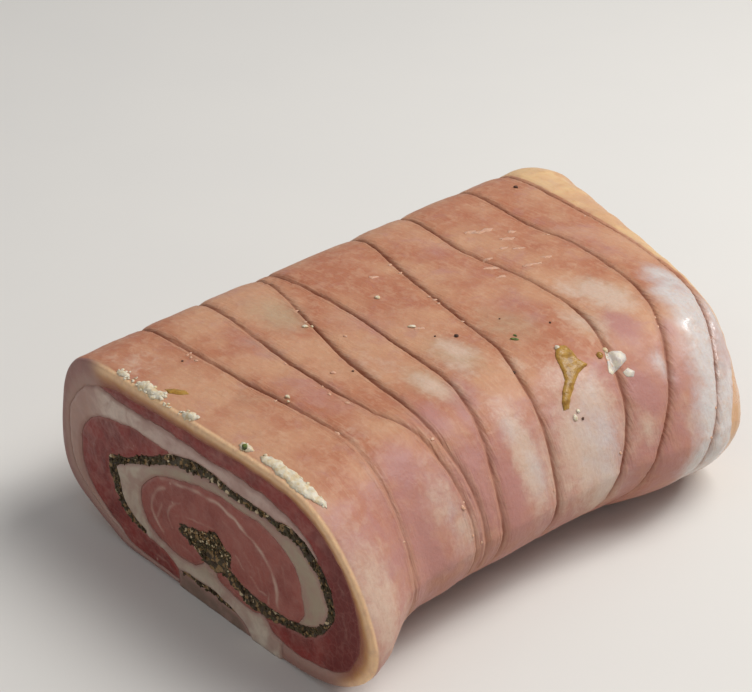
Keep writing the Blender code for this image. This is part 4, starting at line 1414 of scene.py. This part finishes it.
class RULLEPOLSE_OT_stage(bpy.types.Operator):
    """Make the camera, the floor and the light."""
    bl_idname = "rullepolse.stage"
    look = "rullepolse_stage"
    bl_label = "Stage"

    def execute(self, context):
        look = getattr(context.scene, self.look)
        scene = context.scene
        camera = bpy.data.objects.new("camera", bpy.data.cameras.new("camera"))
        scene.collection.objects.link(camera)
        tilt, roll, turn = (math.radians(angle) for angle in CAMERA_TURNS)
        right = Vector((math.cos(turn), math.sin(turn), 0.0))
        away = Vector((math.sin(turn) * math.cos(tilt), -math.cos(turn) * math.cos(tilt),
                       math.sin(tilt)))
        up = away.cross(right)
        x_axis = right * math.cos(roll) + up * math.sin(roll)
        y_axis = up * math.cos(roll) - right * math.sin(roll)
        turned = Matrix((x_axis, y_axis, away)).transposed()
        spot = row_point(Vector(CAMERA_SPOT))
        camera.matrix_world = Matrix.Translation(spot) @ turned.to_4x4()
        camera.data.sensor_width = SENSOR
        camera.data.lens = SENSOR * FOCAL_PIXELS / PHOTO_WIDTH
        camera.data.clip_start = 0.01
        scene.camera = camera

        bm = bmesh.new()
        bmesh.ops.create_grid(bm, x_segments=2, y_segments=2, size=FLOOR_SIZE)
        mesh = bpy.data.meshes.new("floor")
        bm.to_mesh(mesh)
        bm.free()
        floor = bpy.data.objects.new("floor", mesh)
        scene.collection.objects.link(floor)
        mesh.materials.append(floor_material(look))

        for name, spot, width in LIGHTS:
            light = bpy.data.lights.new(name, "AREA")
            light.energy = getattr(look, name)
            light.size = width
            lamp = bpy.data.objects.new(name, light)
            lamp.location = spot
            aim = Vector(LIGHT_AIM) - Vector(spot)
            lamp.rotation_euler = aim.to_track_quat("-Z", "Y").to_euler()
            scene.collection.objects.link(lamp)
        world = bpy.data.worlds.new("room")
        world.use_nodes = True
        sky = world.node_tree.nodes["Background"]
        sky.inputs["Color"].default_value = ROOM_COLOUR
        sky.inputs["Strength"].default_value = ROOM_STRENGTH
        scene.world = world
        scene.view_settings.view_transform = "Standard"
        return {"FINISHED"}


class RULLEPOLSE_PT_panel(bpy.types.Panel):
    """Each step with the sizes and colours that it uses."""
    bl_idname = "RULLEPOLSE_PT_panel"
    bl_label = "Rullepolse"
    bl_space_type = "VIEW_3D"
    bl_region_type = "UI"
    bl_category = "Rullepolse"

    def draw(self, context):
        for step in STEPS:
            box = self.layout.box()
            look = getattr(context.scene, step.look)
            for name in look.__annotations__:
                box.prop(look, name)
            box.operator(step.bl_idname)


LOOKS = {"rullepolse_skin": SkinLook, "rullepolse_meat": MeatLook,
         "rullepolse_herbs": HerbLook, "rullepolse_bits": BitLook,
         "rullepolse_stage": StageLook}
STEPS = (RULLEPOLSE_OT_skin, RULLEPOLSE_OT_lean, RULLEPOLSE_OT_fat,
         RULLEPOLSE_OT_filling, RULLEPOLSE_OT_bits, RULLEPOLSE_OT_stage)


def register():
    """Register the looks, the steps and the panel."""
    for name, look in LOOKS.items():
        bpy.utils.register_class(look)
        setattr(bpy.types.Scene, name, bpy.props.PointerProperty(type=look))
    for step in STEPS + (RULLEPOLSE_PT_panel,):
        bpy.utils.register_class(step)


def unregister():
    """Take out what register() put in."""
    for step in (RULLEPOLSE_PT_panel,) + STEPS[::-1]:
        bpy.utils.unregister_class(step)
    for name, look in LOOKS.items():
        delattr(bpy.types.Scene, name)
        bpy.utils.unregister_class(look)


def main():
    """Make every piece in order."""
    register()
    bpy.ops.rullepolse.skin()
    bpy.ops.rullepolse.lean()
    bpy.ops.rullepolse.fat()
    bpy.ops.rullepolse.filling()
    bpy.ops.rullepolse.bits()
    bpy.ops.rullepolse.stage()


if __name__ == "__main__":
    main()
